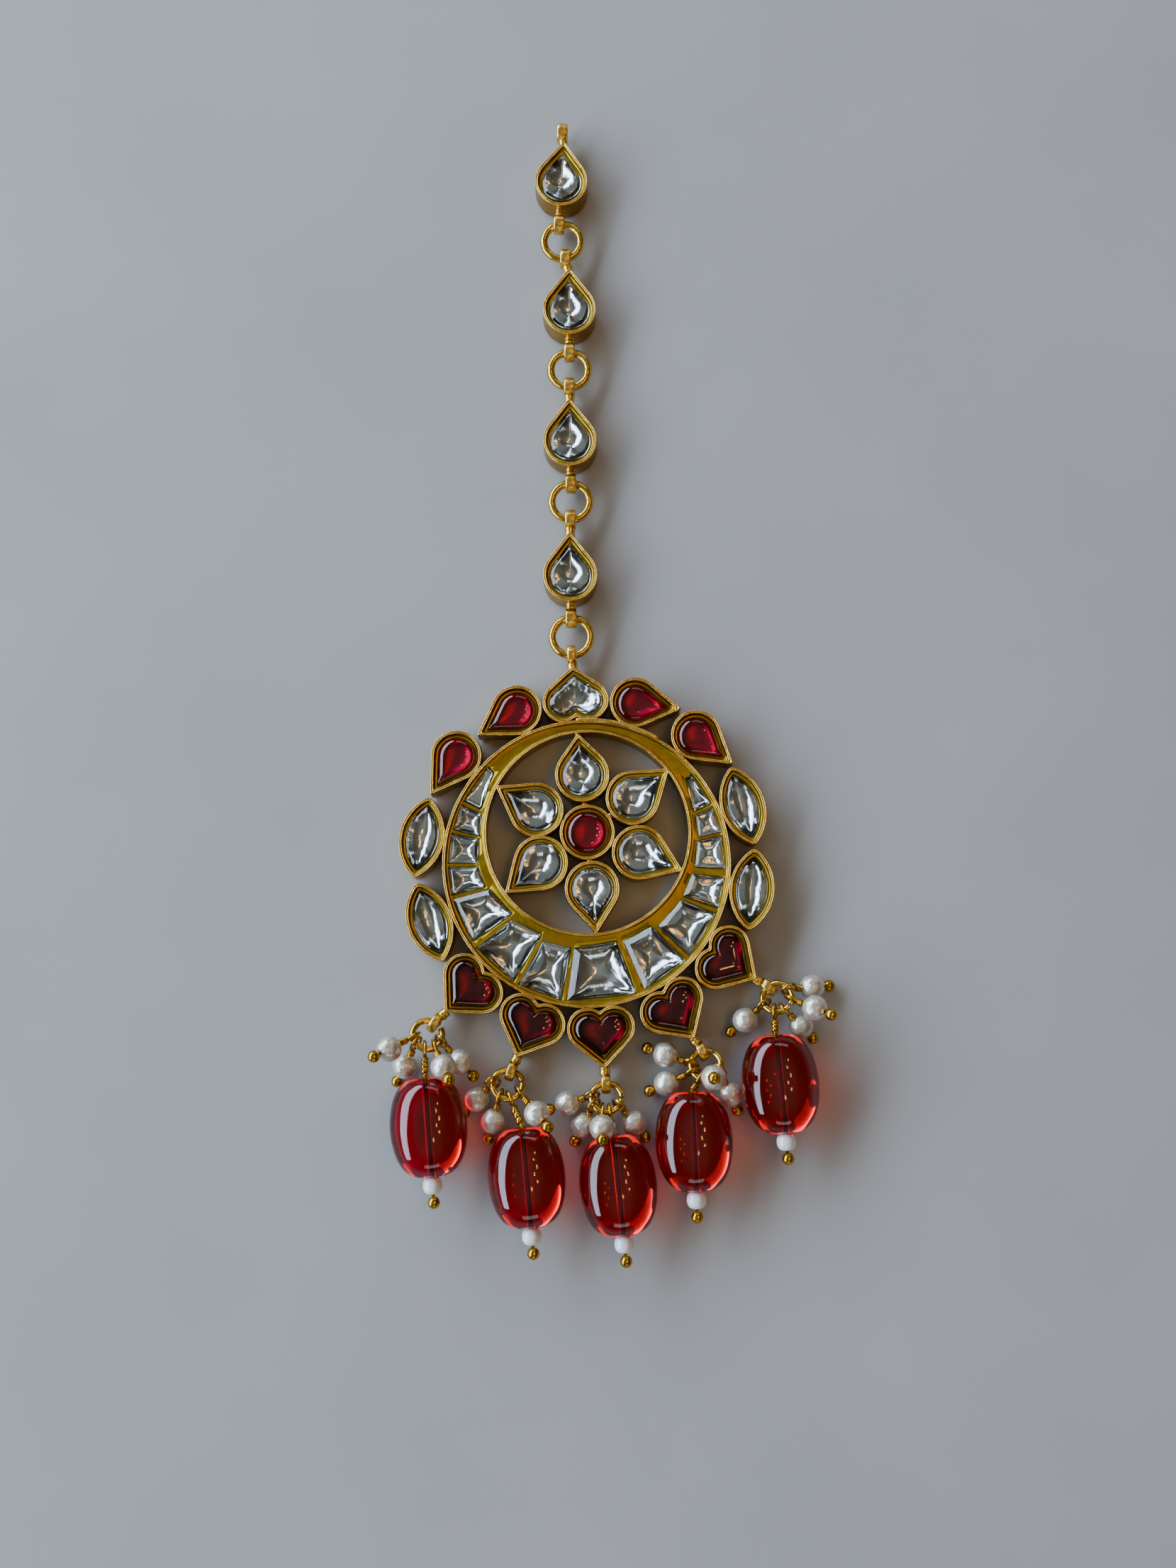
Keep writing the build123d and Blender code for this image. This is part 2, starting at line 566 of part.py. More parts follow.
for name, ring_bearing, bead_x, bead_y, bead_bearing, pin_place, ring_cut in DROPS:
    eye = eye_places[f"heart_{name}"]
    ring = ring_frame(eye, ring_bearing)
    ring_centre, far, across, ring_normal = ring
    bead_centre = PENDANT_CENTRE + Vector(bead_x, bead_y, BEAD_THICKNESS / 2)
    bead_way = heading(bead_bearing)

    cut = far * cos(radians(ring_cut)) + across * sin(radians(ring_cut))
    with BuildPart() as drop_ring:
        section_plane = Plane(origin=ring_centre + cut * DROP_RING_RADIUS, z_dir=ring_normal.cross(cut))
        with BuildSketch(section_plane):
            Circle(DROP_WIRE)
        revolve(axis=Axis(ring_centre, ring_normal), revolution_arc=360 - RING_GAP_ANGLE)
    save(drop_ring.part, f"drop_{name}_ring")

    # The bead is a flattened barrel, drilled from end to end and countersunk.
    with BuildPart() as drop_bead:
        for along, size in BEAD_SECTIONS:
            place = bead_centre + bead_way * along * BEAD_LENGTH / 2
            with BuildSketch(Plane(origin=place, x_dir=heading(bead_bearing - 90), z_dir=bead_way)):
                Ellipse(BEAD_WIDTH / 2 * size, BEAD_THICKNESS / 2 * size)
        loft()
        for end in (-1, 1):
            mouth = Plane(origin=bead_centre + bead_way * end * BEAD_LENGTH / 2, z_dir=bead_way * -end)
            with BuildSketch(mouth):
                Circle(BEAD_MOUTH)
            with BuildSketch(mouth.offset(BEAD_MOUTH_DEPTH)):
                Circle(BEAD_BORE)
            loft(mode=Mode.SUBTRACT)
        with BuildSketch(Plane(origin=bead_centre - bead_way * BEAD_LENGTH / 2, z_dir=bead_way)):
            Circle(BEAD_BORE)
        extrude(amount=BEAD_LENGTH, mode=Mode.SUBTRACT)
    save(drop_bead.part, f"drop_{name}_bead")

    # Headpin of the bead: loop on the ring, wraps down to the bead, shank through it, ball below.
    bead_top = bead_centre - bead_way * (BEAD_LENGTH / 2 + PIN_GAP)
    loop = loop_frame(ring, pin_place, bead_top)
    tip_centre = bead_centre + bead_way * TIP_BEAD_REACH
    head_centre = tip_centre + bead_way * (TIP_BEAD_RADIUS + PIN_GAP + HEAD_RADIUS)
    with BuildPart() as drop_pin:
        wire_loop(loop)
        rod(loop.origin + loop.x_dir * LOOP_RADIUS, bead_top, WRAP_RADIUS)
        shank(bead_top - bead_way * PIN_WIRE, bead_way, (head_centre - bead_top).length + PIN_WIRE)
    save(drop_pin.part, f"drop_{name}_pin")

    # Pearls, each on its own headpin that is looped round the ring.
    strung = [(tip_centre, bead_way, TIP_BEAD_RADIUS)]
    with BuildPart() as pearl_pins:
        for place, x, y, height in PEARLS[name]:
            pearl_centre = Vector(ring_centre.X + x, ring_centre.Y + y, height)
            loop = loop_frame(ring, place, pearl_centre)
            pearl_top = pearl_centre - loop.x_dir * (PEARL_RADIUS + PIN_GAP)
            wire_loop(loop)
            rod(loop.origin + loop.x_dir * LOOP_RADIUS, pearl_top, WRAP_RADIUS)
            shank(pearl_top - loop.x_dir * PIN_WIRE, loop.x_dir, PIN_WIRE + 2 * (PEARL_RADIUS + PIN_GAP) + HEAD_RADIUS)
            strung.append((pearl_centre, loop.x_dir, PEARL_RADIUS))
    save(pearl_pins.part, f"drop_{name}_pearl_pins")

    with BuildPart() as pearls:
        for centre, way, radius in strung:
            drilled_ball(centre, way, radius)
    save(pearls.part, f"drop_{name}_pearls")
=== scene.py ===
# Maang tikka, a kundan head jewel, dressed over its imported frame. It is put together from the top
# of the chain down to the drops. Metres, +Z up, +Y along the chain; sizes below are in millimetres.
from math import acos, asin, atan2, cos, degrees, hypot, pi, radians, sin, sqrt

import bmesh
import bpy
from mathutils import Matrix, Vector


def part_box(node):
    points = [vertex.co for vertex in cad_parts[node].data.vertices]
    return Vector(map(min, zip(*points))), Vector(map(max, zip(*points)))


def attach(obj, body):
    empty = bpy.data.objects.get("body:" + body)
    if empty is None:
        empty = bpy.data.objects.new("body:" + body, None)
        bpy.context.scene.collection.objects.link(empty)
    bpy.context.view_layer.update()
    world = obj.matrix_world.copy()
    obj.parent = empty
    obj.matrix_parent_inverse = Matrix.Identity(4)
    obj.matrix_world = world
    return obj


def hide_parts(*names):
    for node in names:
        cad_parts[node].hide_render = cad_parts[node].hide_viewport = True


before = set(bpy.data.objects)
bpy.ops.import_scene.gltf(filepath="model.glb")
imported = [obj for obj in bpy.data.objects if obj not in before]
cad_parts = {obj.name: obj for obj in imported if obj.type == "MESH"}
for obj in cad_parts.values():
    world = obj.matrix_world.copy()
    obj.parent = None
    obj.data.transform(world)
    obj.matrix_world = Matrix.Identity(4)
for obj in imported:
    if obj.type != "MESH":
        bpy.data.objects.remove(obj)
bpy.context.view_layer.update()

# ==== Table, light and camera ====
# The jewel lies on a plain pale grey card. A long cool window stands low on the left, two soft
# panels stand above and below, and small warm lamps overhead make specks in the stones.
MM = 0.001


def linear(hex_colour):
    """An sRGB hex colour as linear red, green, blue and alpha."""
    parts = [int(hex_colour[k : k + 2], 16) / 255 for k in (1, 3, 5)]
    return [p / 12.92 if p <= 0.04045 else ((p + 0.055) / 1.055) ** 2.4 for p in parts] + [1.0]


def node(tree, kind, settings={}, links={}):
    """Adds one shader node with its settings and the links into it."""
    made = tree.nodes.new(kind)
    for name, value in settings.items():
        if isinstance(name, str) and hasattr(made, name):
            setattr(made, name, value)
        else:
            made.inputs[name].default_value = value
    for name, source in links.items():
        tree.links.new(source, made.inputs[name])
    return made


def new_material(name):
    """An empty node material and its node tree."""
    material = bpy.data.materials.new(name)
    material.use_nodes = True
    material.node_tree.nodes.clear()
    return material, material.node_tree


flower_middle = sum(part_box("centre_stone"), Vector()) / 2
flower_middle.z = 0

bpy.ops.object.select_all(action="DESELECT")
bpy.ops.mesh.primitive_grid_add(x_subdivisions=60, y_subdivisions=60, size=1.6)
table_card = bpy.context.object
table_card.name = "table_card"
# Uncoated card: matt and a little mottled. Its grain is drawn coarser than real fibres, to show at all.
card_paper, tree = new_material("uncoated_grey_card")
spot = node(tree, "ShaderNodeTexCoord").outputs["Object"]
mottle = node(tree, "ShaderNodeTexNoise", {"Scale": 1 / (30 * MM), "Detail": 3.0}, {"Vector": spot})
grain = node(tree, "ShaderNodeTexNoise", {"Scale": 1 / (0.4 * MM), "Detail": 4.0}, {"Vector": spot})
tone = node(tree, "ShaderNodeMix", {"data_type": "RGBA", 6: linear("#999B99"), 7: linear("#A9ABAA")},
            {0: mottle.outputs["Fac"]})
relief = node(tree, "ShaderNodeBump", {"Strength": 0.12, "Distance": 0.05 * MM},
              {"Height": grain.outputs["Fac"]})
paper = node(tree, "ShaderNodeBsdfPrincipled", {"Roughness": 0.9},
             {"Base Color": tone.outputs[2], "Normal": relief.outputs["Normal"]})
node(tree, "ShaderNodeOutputMaterial", {}, {"Surface": paper.outputs["BSDF"]})
table_card.data.materials.append(card_paper)

# The room is pale at the horizon and overhead and a dim brown between, which gives the metal contrast.
room = bpy.data.worlds.new("dim_room")
room.use_nodes = True
tree = room.node_tree
where = node(tree, "ShaderNodeTexCoord")
upward = node(tree, "ShaderNodeSeparateXYZ", {}, {"Vector": where.outputs["Generated"]})
walls = node(tree, "ShaderNodeValToRGB", {}, {"Fac": upward.outputs["Z"]})
walls.color_ramp.elements[0].color = linear("#E6E2DA")
walls.color_ramp.elements[1].color = linear("#E2E6E0")
for height, tone in ((0.12, "#C8C0B2"), (0.32, "#6E5A3A"), (0.72, "#8E8468"), (0.88, "#D4D6CA")):
    walls.color_ramp.elements.new(height).color = linear(tone)
tree.links.new(walls.outputs["Color"], tree.nodes["Background"].inputs["Color"])
tree.nodes["Background"].inputs["Strength"].default_value = 0.36
bpy.context.scene.world = room

LIGHTS = [
    # name, x, y, z, width, height, watts, colour
    ("window", -640, 170, 350, 2000, 320, 26.0, "#D2E4FF"),
    ("far_panel", 150, 760, 430, 520, 170, 0.7, "#E8F0F4"),
    ("near_panel", 60, -780, 430, 520, 170, 0.7, "#E8F0F4"),
]
LAMPS = [(300, 260, 640), (250, 150, 700), (330, 60, 680),
         (240, -30, 720), (310, -130, 660), (130, -240, 700)]
LIGHTS += [("lamp_" + letter, *place, 44, 44, 0.13, "#FFB050") for letter, place in zip("abcdef", LAMPS)]
for name, x, y, z, width, height, watts, colour in LIGHTS:
    bpy.ops.object.light_add(type="AREA", location=(x * MM, y * MM, z * MM))
    light = bpy.context.object
    light.name = name
    light.data.shape = "RECTANGLE"
    light.data.size, light.data.size_y = width * MM, height * MM
    light.data.energy = watts
    light.data.color = linear(colour)[:3]
    light.rotation_euler = (flower_middle - light.location).to_track_quat("-Z", "Y").to_euler()

CAMERA_OFFSET = (0.08, -20.98, 181.0)  # from the flower's middle
CAMERA_TILT = 8.5                      # degrees from straight down
camera_place = flower_middle + Vector(CAMERA_OFFSET) * MM
bpy.ops.object.camera_add(location=camera_place, rotation=(radians(CAMERA_TILT), 0, 0))
camera = bpy.context.object
camera.data.sensor_fit = "VERTICAL"
camera.data.sensor_height = 36
camera.data.lens = 35.74
camera.data.clip_start = 0.005
bpy.context.scene.camera = camera

# ==== Chain settings ====
# Each link is a teardrop cup of gold-plated brass strip, bent round and soldered to a back, with a
# soft gold bed pressed in round its stone and a short tube soldered on at each end as an eye.
LINK_WIDTH, LINK_LENGTH = 6.5, 8.56
EYE_HEIGHT = 1.75         # middle of every soldered eye above the card
TIP_TO_EYE = 1.87         # link's tip to the middle of its top eye
EYE_TO_CUP = 1.65         # middle of its bottom eye to its round end
CHAIN_RING_RADIUS = 2.25  # of the rings between links, to the middle of the wire


def draw_loop(start, path, height, size=1.0):
    """One closed outline at a height: runs go to a point, bends swing round a centre."""
    bpy.ops.mesh.select_all(action="DESELECT")
    bpy.ops.mesh.primitive_plane_add(size=0.1 * MM, location=(start[0] * MM, start[1] * MM, height * MM))
    bpy.ops.mesh.merge(type="CENTER")
    x, y = start
    for kind, a, b, count, turn in path:
        if kind == "run":
            step = ((a - x) / count * MM, (b - y) / count * MM, 0)
            for _ in range(count):
                bpy.ops.mesh.extrude_vertices_move(TRANSFORM_OT_translate={"value": step})
            x, y = a, b
        else:
            bpy.ops.mesh.spin(steps=count, angle=-radians(turn), center=(a * MM, b * MM, height * MM),
                              axis=(0, 0, 1))
            arm_x, arm_y = x - a, y - b
            x = a + arm_x * cos(radians(turn)) - arm_y * sin(radians(turn))
            y = b + arm_x * sin(radians(turn)) + arm_y * cos(radians(turn))
    if size != 1.0:
        select_heights([height])
        bpy.ops.transform.resize(value=(size, size, 1), center_override=(0, 0, height * MM))


def select_heights(heights):
    """Selects the loops at these heights in the piece that is being edited."""
    mesh = bmesh.from_edit_mesh(bpy.context.edit_object.data)
    for vertex in mesh.verts:
        vertex.select = any(abs(vertex.co.z - height * MM) < 0.003 * MM for height in heights)
    mesh.select_flush(True)
    mesh.select_flush(False)
    bmesh.update_edit_mesh(bpy.context.edit_object.data)


def start_piece(name):
    """An empty piece at the origin, open for editing."""
    bpy.ops.object.select_all(action="DESELECT")
    bpy.ops.mesh.primitive_plane_add()
    piece = bpy.context.object
    piece.name = name
    bpy.ops.object.mode_set(mode="EDIT")
    bpy.ops.mesh.select_mode(type="VERT")
    bpy.ops.mesh.delete(type="VERT")
    return piece


def face_outward():
    """Turns all the faces of the piece that is being edited outwards."""
    bpy.ops.mesh.select_all(action="SELECT")
    bpy.ops.mesh.normals_make_consistent(inside=False)


def raise_walls(outline, profile, closed=False):
    """Draws an outline at each row of a profile and bridges them into one closed body."""
    for inset, size, height in profile:
        start, path = outline(inset)
        draw_loop(start, path, height, size)
    bpy.ops.mesh.select_all(action="SELECT")
    bpy.ops.mesh.remove_doubles(threshold=0.002 * MM)
    heights = [row[2] for row in profile]
    for lower, upper in zip(heights, heights[1:] + (heights[:1] if closed else [])):
        select_heights([lower, upper])
        bpy.ops.mesh.bridge_edge_loops()
    for end in [] if closed else (heights[0], heights[-1]):
        select_heights([end])
        bpy.ops.mesh.edge_face_add()
    face_outward()


def move_mesh(piece, matrix):
    """Leaves edit mode and moves a finished piece's mesh, so that its object stays at the origin."""
    if bpy.context.mode != "OBJECT":
        bpy.ops.object.mode_set(mode="OBJECT")
    piece.data.transform(matrix)


def set_down(piece, centre, bearing):
    """Sets a piece down flat in its place, its tip turned from +Y to a bearing."""
    move_mesh(piece, Matrix.Translation(centre) @ Matrix.Rotation(radians(bearing - 90), 4, "Z"))


def apply_modifier(piece, kind, **settings):
    """Adds a modifier with its settings and applies it."""
    bpy.ops.object.select_all(action="DESELECT")
    piece.select_set(True)
    bpy.context.view_layer.objects.active = piece
    modifier = piece.modifiers.new(kind.lower(), kind)
    for name, value in settings.items():
        setattr(modifier, name, value)
    bpy.ops.object.modifier_apply(modifier=modifier.name)


def teardrop(width, length):
    """Outline with a round end and straight sides to a tip on +Y, as a function of its inset."""
    def outline(inset):
        radius, reach = width / 2, length - width / 2
        tangent = 90 - degrees(acos(radius / reach))
        shrink = (radius - inset) / radius
        radius, reach = radius * shrink, reach * shrink
        side = radius * cos(radians(tangent)), radius * sin(radians(tangent))
        path = [("run", side[0], side[1], 9, 0), ("bend", 0, 0, 30, -180 - 2 * tangent),
                ("run", 0, reach, 9, 0)]
        return (0, reach), path
    return outline


cloud_wobble = bpy.data.textures.new("hand_wobble", "CLOUDS")
cloud_wobble.noise_scale = 1.6 * MM
cloud_dents = bpy.data.textures.new("file_marks", "CLOUDS")
cloud_dents.noise_scale = 0.5 * MM


def uneven(piece, texture, strength, coords="GLOBAL"):
    """Pushes a piece's surface in and out by a cloud texture, by a strength in millimetres."""
    apply_modifier(piece, "DISPLACE", texture=texture, texture_coords=coords, strength=strength * MM,
                   mid_level=0.5)


def hand_work(piece, wobble=0.10, dents=0.05):
    """The small unevenness of strip that is bent, filed and burnished by hand."""
    apply_modifier(piece, "SUBSURF", levels=1, render_levels=1)
    uneven(piece, cloud_wobble, wobble)
    uneven(piece, cloud_dents, dents)
    bpy.ops.object.shade_smooth()


def gold(name, light, dark, roughness, grain, depth):
    """Yellow gold plate over brass, drawn, filed or burnished."""
    material, tree = new_material(name)
    spot = node(tree, "ShaderNodeTexCoord").outputs["Object"]
    patches = node(tree, "ShaderNodeTexNoise", {"Scale": 1 / (1.8 * MM), "Detail": 4.0}, {"Vector": spot})
    marks = node(tree, "ShaderNodeTexNoise", {"Scale": 1 / (grain * MM), "Detail": 3.0}, {"Vector": spot})
    tone = node(tree, "ShaderNodeMix", {"data_type": "RGBA", 6: linear(dark), 7: linear(light)},
                {0: patches.outputs["Fac"]})
    gloss = node(tree, "ShaderNodeMapRange", {"To Min": roughness - 0.08, "To Max": roughness + 0.12},
                 {"Value": marks.outputs["Fac"]})
    relief = node(tree, "ShaderNodeBump", {"Strength": 1.0, "Distance": depth * MM},
                  {"Height": marks.outputs["Fac"]})
    metal = node(tree, "ShaderNodeBsdfPrincipled", {"Metallic": 1.0},
                 {"Base Color": tone.outputs[2], "Roughness": gloss.outputs[0],
                  "Normal": relief.outputs["Normal"]})
    node(tree, "ShaderNodeOutputMaterial", {}, {"Surface": metal.outputs["BSDF"]})
    return material


# Filed rims are grainy, their gold painted paler and brighter as a painted highlight; the pressed bed is
# smooth and greener; the walls are duller, their gold painted darker and browner as painted shade.
rim_gold_painted_highlight = gold("filed_gold_plate_painted_highlight", "#FFE27E", "#C4901F", 0.22, 0.22, 0.055)
bed_gold = gold("burnished_gold_bed", "#C4A62E", "#8A6C14", 0.34, 0.60, 0.012)
wall_gold_painted_shade = gold("drawn_gold_strip_painted_shade", "#CFA034", "#7E5A16", 0.30, 0.35, 0.030)

# inset, size and height of the section, each height used once: up the outer strip, over its rim and
# that of the bezel strip inside it, down to the bed, across to the stone, and down its pocket
SETTING_PROFILE = [
    (0.12, 1, 0.00), (0.00, 1, 0.14), (0.00, 1, 1.10), (0.03, 1, 2.20), (0.00, 1, 3.20), (0.03, 1, 3.42),
    (0.11, 1, 3.51), (0.17, 1, 3.48), (0.21, 1, 3.38), (0.25, 1, 3.39), (0.30, 1, 3.47), (0.37, 1, 3.45),
    (0.41, 1, 3.35), (0.43, 1, 3.05), (0.52, 1, 2.93), (0.66, 1, 2.86), (0.80, 1, 2.89), (0.84, 1, 2.70),
    (0.86, 1, 1.60),
]
# Gold above RIM_FROM gets the paler gold of painted highlight. Gold that is neither rim nor up-facing bed
# gets the darker, browner gold of painted shade.
RIM_FROM = 3.28  # gold above this is rim
BED_FROM = 2.4   # gold above this that looks up is bed


def gild(piece):
    """Gives a setting its three golds by height and by which way its faces look: a paler gold on the rims as
    painted highlight, a darker one on the walls as painted shade.
    """
    for finish_and_painted_light in (rim_gold_painted_highlight, bed_gold, wall_gold_painted_shade):
        piece.data.materials.append(finish_and_painted_light)
    for face in piece.data.polygons:
        height = face.center.z / MM
        looks_up = face.normal.z > 0.35
        # Rims get the paler gold of painted highlight, the up-facing bed the greener gold, and the rest the
        # darker gold of painted shade.
        face.material_index = 0 if height > RIM_FROM else 1 if looks_up and height > BED_FROM else 2


def disc(radius):
    """A round outline, by its radius."""
    return (radius, 0), [("bend", 0, 0, 24, 360)]


def set_on(piece, centre, way):
    """Points a piece's +Z along a way and sets it in its place."""
    move_mesh(piece, Matrix.Translation(centre) @ way.to_track_quat("Z", "Y").to_matrix().to_4x4())


def join(parts):
    """Joins pieces into the first of them."""
    bpy.ops.object.select_all(action="DESELECT")
    for part in parts:
        part.select_set(True)
    bpy.context.view_layer.objects.active = parts[0]
    bpy.ops.object.join()
    return parts[0]


def heading(bearing):
    """Level unit vector at a bearing."""
    return Vector((cos(radians(bearing)), sin(radians(bearing)), 0))


def add_solder_eye(name, centre, bearing, foot, width=1.3):
    """A short soldered tube, its hole across a bearing, on the thick post that joins it to its setting."""
    half = width / 2
    eye = start_piece(name)
    band = [
        # radius, height along the tube
        (1.06, -half), (1.17, 0.06 - half), (1.22, -half / 2), (1.23, 0), (1.21, half / 2),
        (1.16, half - 0.06), (1.05, half), (0.86, half + 0.01), (0.77, half - 0.11), (0.75, 0.01),
        (0.77, 0.11 - half), (0.86, 0.01 - half),
    ]
    raise_walls(disc, [(radius, 1, height) for radius, height in band], closed=True)
    set_on(eye, centre, heading(bearing - 90))
    post = start_piece(name + "_post")
    length = (foot - centre).length / MM
    rows = [(0.45, 0.74), (0.62, 1.05), (0.66, 1.22), (0.56, 1.45), (0.60, length - 0.25), (0.72, length)]
    raise_walls(disc, [(radius, 1, height) for radius, height in rows])
    set_on(post, centre, (foot - centre).normalized())
    join([eye, post])
    apply_modifier(eye, "SUBSURF", levels=1, render_levels=1)
    bpy.ops.object.shade_smooth()
    # The eye takes the paler rim gold, whose paleness is a painted highlight.
    eye.data.materials.append(rim_gold_painted_highlight)
    return eye


FLOWER_X, FLOWER_Y = 0.08, 3.45  # the flower and the inner ring, from the crescent's centre
pendant_centre = flower_middle - Vector((FLOWER_X, FLOWER_Y, 0)) * MM
LINKS = [
    # name, x from the crescent's centre, turn, top_eye_shift
    ("1", -3.40, -3.4, -0.35),
    ("2", -2.10, 0.0, -0.50),
    ("3", -1.90, 1.0, 0.00),
    ("4", -1.85, 0.9, 0.10),
]
link_places = {}
for name, link_x, turn, top_eye_shift in LINKS:
    ring_middle = sum(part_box("chain_ring_" + name), Vector()) / 2
    up = heading(90 + turn)
    bottom_eye = Vector((pendant_centre.x + link_x * MM, ring_middle.y + CHAIN_RING_RADIUS * MM,
                         EYE_HEIGHT * MM))
    round_end = bottom_eye + up * (EYE_TO_CUP + LINK_WIDTH / 2) * MM
    tip = round_end + up * (LINK_LENGTH - LINK_WIDTH / 2) * MM
    top_eye = tip + up * TIP_TO_EYE * MM + heading(turn) * top_eye_shift * MM
    link_places[name] = Vector((round_end.x, round_end.y, 0)), 90 + turn

    cup = start_piece("link_cup_" + name)
    raise_walls(teardrop(LINK_WIDTH, LINK_LENGTH), SETTING_PROFILE)
    set_down(cup, *link_places[name])
    eyes = [add_solder_eye("link_eye", top_eye, 90 + turn, tip - up * 0.3 * MM),
            add_solder_eye("link_eye", bottom_eye, 90 + turn, bottom_eye + up * 2.0 * MM)]
    hand_work(cup)
    gild(cup)
    join([cup] + eyes)
    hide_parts("chain_setting_" + name)
    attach(cup, "root")

# ==== Chain stones ====
# Clear glass with a flat table inside a narrow border of facets. Its bowl-shaped back is wrapped in
# silver foil before it is set.
def raise_stone(name, outline, crown_rows, back_rows):
    """A closed stone: its foiled back from the point up, then its crown up to the table."""
    stone = start_piece(name)
    raise_walls(outline, back_rows + crown_rows)
    bpy.ops.object.mode_set(mode="OBJECT")
    girdle = crown_rows[0][2]
    for material in (foil_glass, silver_foil):
        stone.data.materials.append(material)
    for face in stone.data.polygons:
        face.material_index = 1 if face.center.z / MM < girdle - 0.001 else 0
    return stone


# Silver foil behind the glass: bright, with the fine creases of foil that is pressed round a stone.
silver_foil, tree = new_material("creased_silver_foil")
spot = node(tree, "ShaderNodeTexCoord").outputs["Object"]
creases = node(tree, "ShaderNodeTexVoronoi", {"feature": "F2", "Scale": 1 / (0.9 * MM)}, {"Vector": spot})
relief = node(tree, "ShaderNodeBump", {"Strength": 0.4, "Distance": 0.03 * MM},
              {"Height": creases.outputs["Distance"]})
stain = node(tree, "ShaderNodeTexNoise", {"Scale": 1 / (1.6 * MM), "Detail": 4.0}, {"Vector": spot})
tone = node(tree, "ShaderNodeMix", {"data_type": "RGBA", 6: linear("#C4C8C8"), 7: linear("#F0F3F2")},
            {0: stain.outputs["Fac"]})
metal = node(tree, "ShaderNodeBsdfPrincipled", {"Metallic": 1.0, "Roughness": 0.10},
             {"Base Color": tone.outputs[2], "Normal": relief.outputs["Normal"]})
node(tree, "ShaderNodeOutputMaterial", {}, {"Surface": metal.outputs["BSDF"]})

# Old-cut glass: polished, nearly clear.
foil_glass, tree = new_material("polished_clear_glass")
glass = node(tree, "ShaderNodeBsdfPrincipled",
             {"Base Color": linear("#F3F7FA"), "Roughness": 0.02, "IOR": 1.52, "Transmission Weight": 1.0})
node(tree, "ShaderNodeOutputMaterial", {}, {"Surface": glass.outputs["BSDF"]})

# size and height of the foiled back's rows: nearly a cone, turned up at its edge
FOIL_BOWL = [
    (0.05, 1.78), (0.15, 1.81), (0.35, 1.93), (0.60, 2.14), (0.80, 2.36), (0.94, 2.58), (0.98, 2.72),
    (0.995, 2.92),
]
FOIL_EDGE = 2.94     # height that the bowl grows shallower towards
STONE_INSET = 0.79   # a cup's outline to the edge of its stone


def bowl_rows(inset, depth):
    """The foiled back's rows, as deep as a share of the full bowl."""
    return [(inset, size, FOIL_EDGE - (FOIL_EDGE - height) * depth) for size, height in FOIL_BOWL]


def smooth_foil(stone):
    """Keeps a clear stone's facets crisp over its smooth foil."""
    for face in stone.data.polygons:
        face.use_smooth = face.material_index == 1


def add_clear_stone(name, outline, centre, bearing, cad_node, depth=1.0):
    """A clear stone: a wide flat table inside one row of narrow facets, over a bowl of foil."""
    crown_rows = [(STONE_INSET, 1.0, 2.96), (STONE_INSET, 0.80, 3.24), (STONE_INSET, 0.40, 3.26)]
    stone = raise_stone(name, outline, crown_rows, bowl_rows(STONE_INSET, depth))
    smooth_foil(stone)
    set_down(stone, centre, bearing)
    uneven(stone, cloud_wobble, 0.07)
    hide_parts(cad_node)
    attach(stone, "root")


for name, place in link_places.items():
    add_clear_stone("link_stone_" + name, teardrop(LINK_WIDTH, LINK_LENGTH), *place, "chain_stone_" + name)

# ==== Chain rings ====
# Round wire bent to a ring, its seam soldered. Each ring ties a link to the next one, or to the
# pendant.
CHAIN_WIRE = 0.46  # the wire's own radius


def wire_ring(name, radius, wire, turn=360.0, steps=72, sides=12):
    """Round wire spun about Z, from bearing 0 by a turn, with its ends closed."""
    ring = start_piece(name)
    bpy.ops.mesh.primitive_circle_add(vertices=sides, radius=wire * MM, location=(radius * MM, 0, 0),
                                      rotation=(pi / 2, 0, 0))
    bpy.ops.mesh.spin(steps=steps, angle=-radians(turn), center=(0, 0, 0), axis=(0, 0, 1))
    bpy.ops.mesh.select_all(action="SELECT")
    bpy.ops.mesh.remove_doubles(threshold=0.001 * MM)
    if turn < 360:
        bpy.ops.mesh.fill_holes(sides=0)
    face_outward()
    bpy.ops.object.mode_set(mode="OBJECT")
    return ring


wire_gold = gold("polished_gold_wire", "#FFDA62", "#B8861C", 0.17, 0.40, 0.030)
for name in link_places:
    ring = wire_ring("link_ring_" + name, CHAIN_RING_RADIUS, CHAIN_WIRE)
    middle = sum(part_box("chain_ring_" + name), Vector()) / 2
    set_down(ring, middle, 90)
    uneven(ring, cloud_wobble, 0.10)
    uneven(ring, cloud_dents, 0.08)
    bpy.ops.object.shade_smooth()
    ring.data.materials.append(wire_gold)
    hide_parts("chain_ring_" + name)
    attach(ring, "root")

# ==== Pendant: crescent frame ====
# Two rings of strip soldered to one back, the inner one set high, so that the space between them is
# a crescent. It is filled with a gold bed, which is cut out round each stone.
CRESCENT_RADIUS = 16.6  # the outer ring's outside
STONES_REACH = 15.9     # the stones' outer corners, from the crescent's centre
CRESCENT_STONES = [
    # start, end, inner_start, inner_end: bearings of the ends and how far in each one reaches
    (136.0, 153.3, 15.0, 13.7), (155.4, 166.1, 13.3, 12.7), (168.0, 180.2, 12.7, 12.5),
    (182.4, 193.6, 12.5, 11.9), (195.8, 214.8, 11.6, 10.4), (217.8, 238.4, 10.8, 9.8),
    (241.0, 259.6, 10.3, 10.0), (262.0, 290.6, 9.9, 9.7), (294.6, 315.0, 10.0, 10.4),
    (317.8, 338.0, 11.0, 11.6), (340.8, 353.6, 11.7, 12.2), (357.6, 371.0, 12.4, 12.9),
    (372.9, 383.4, 13.2, 13.6), (385.4, 400.4, 13.7, 15.0),
]


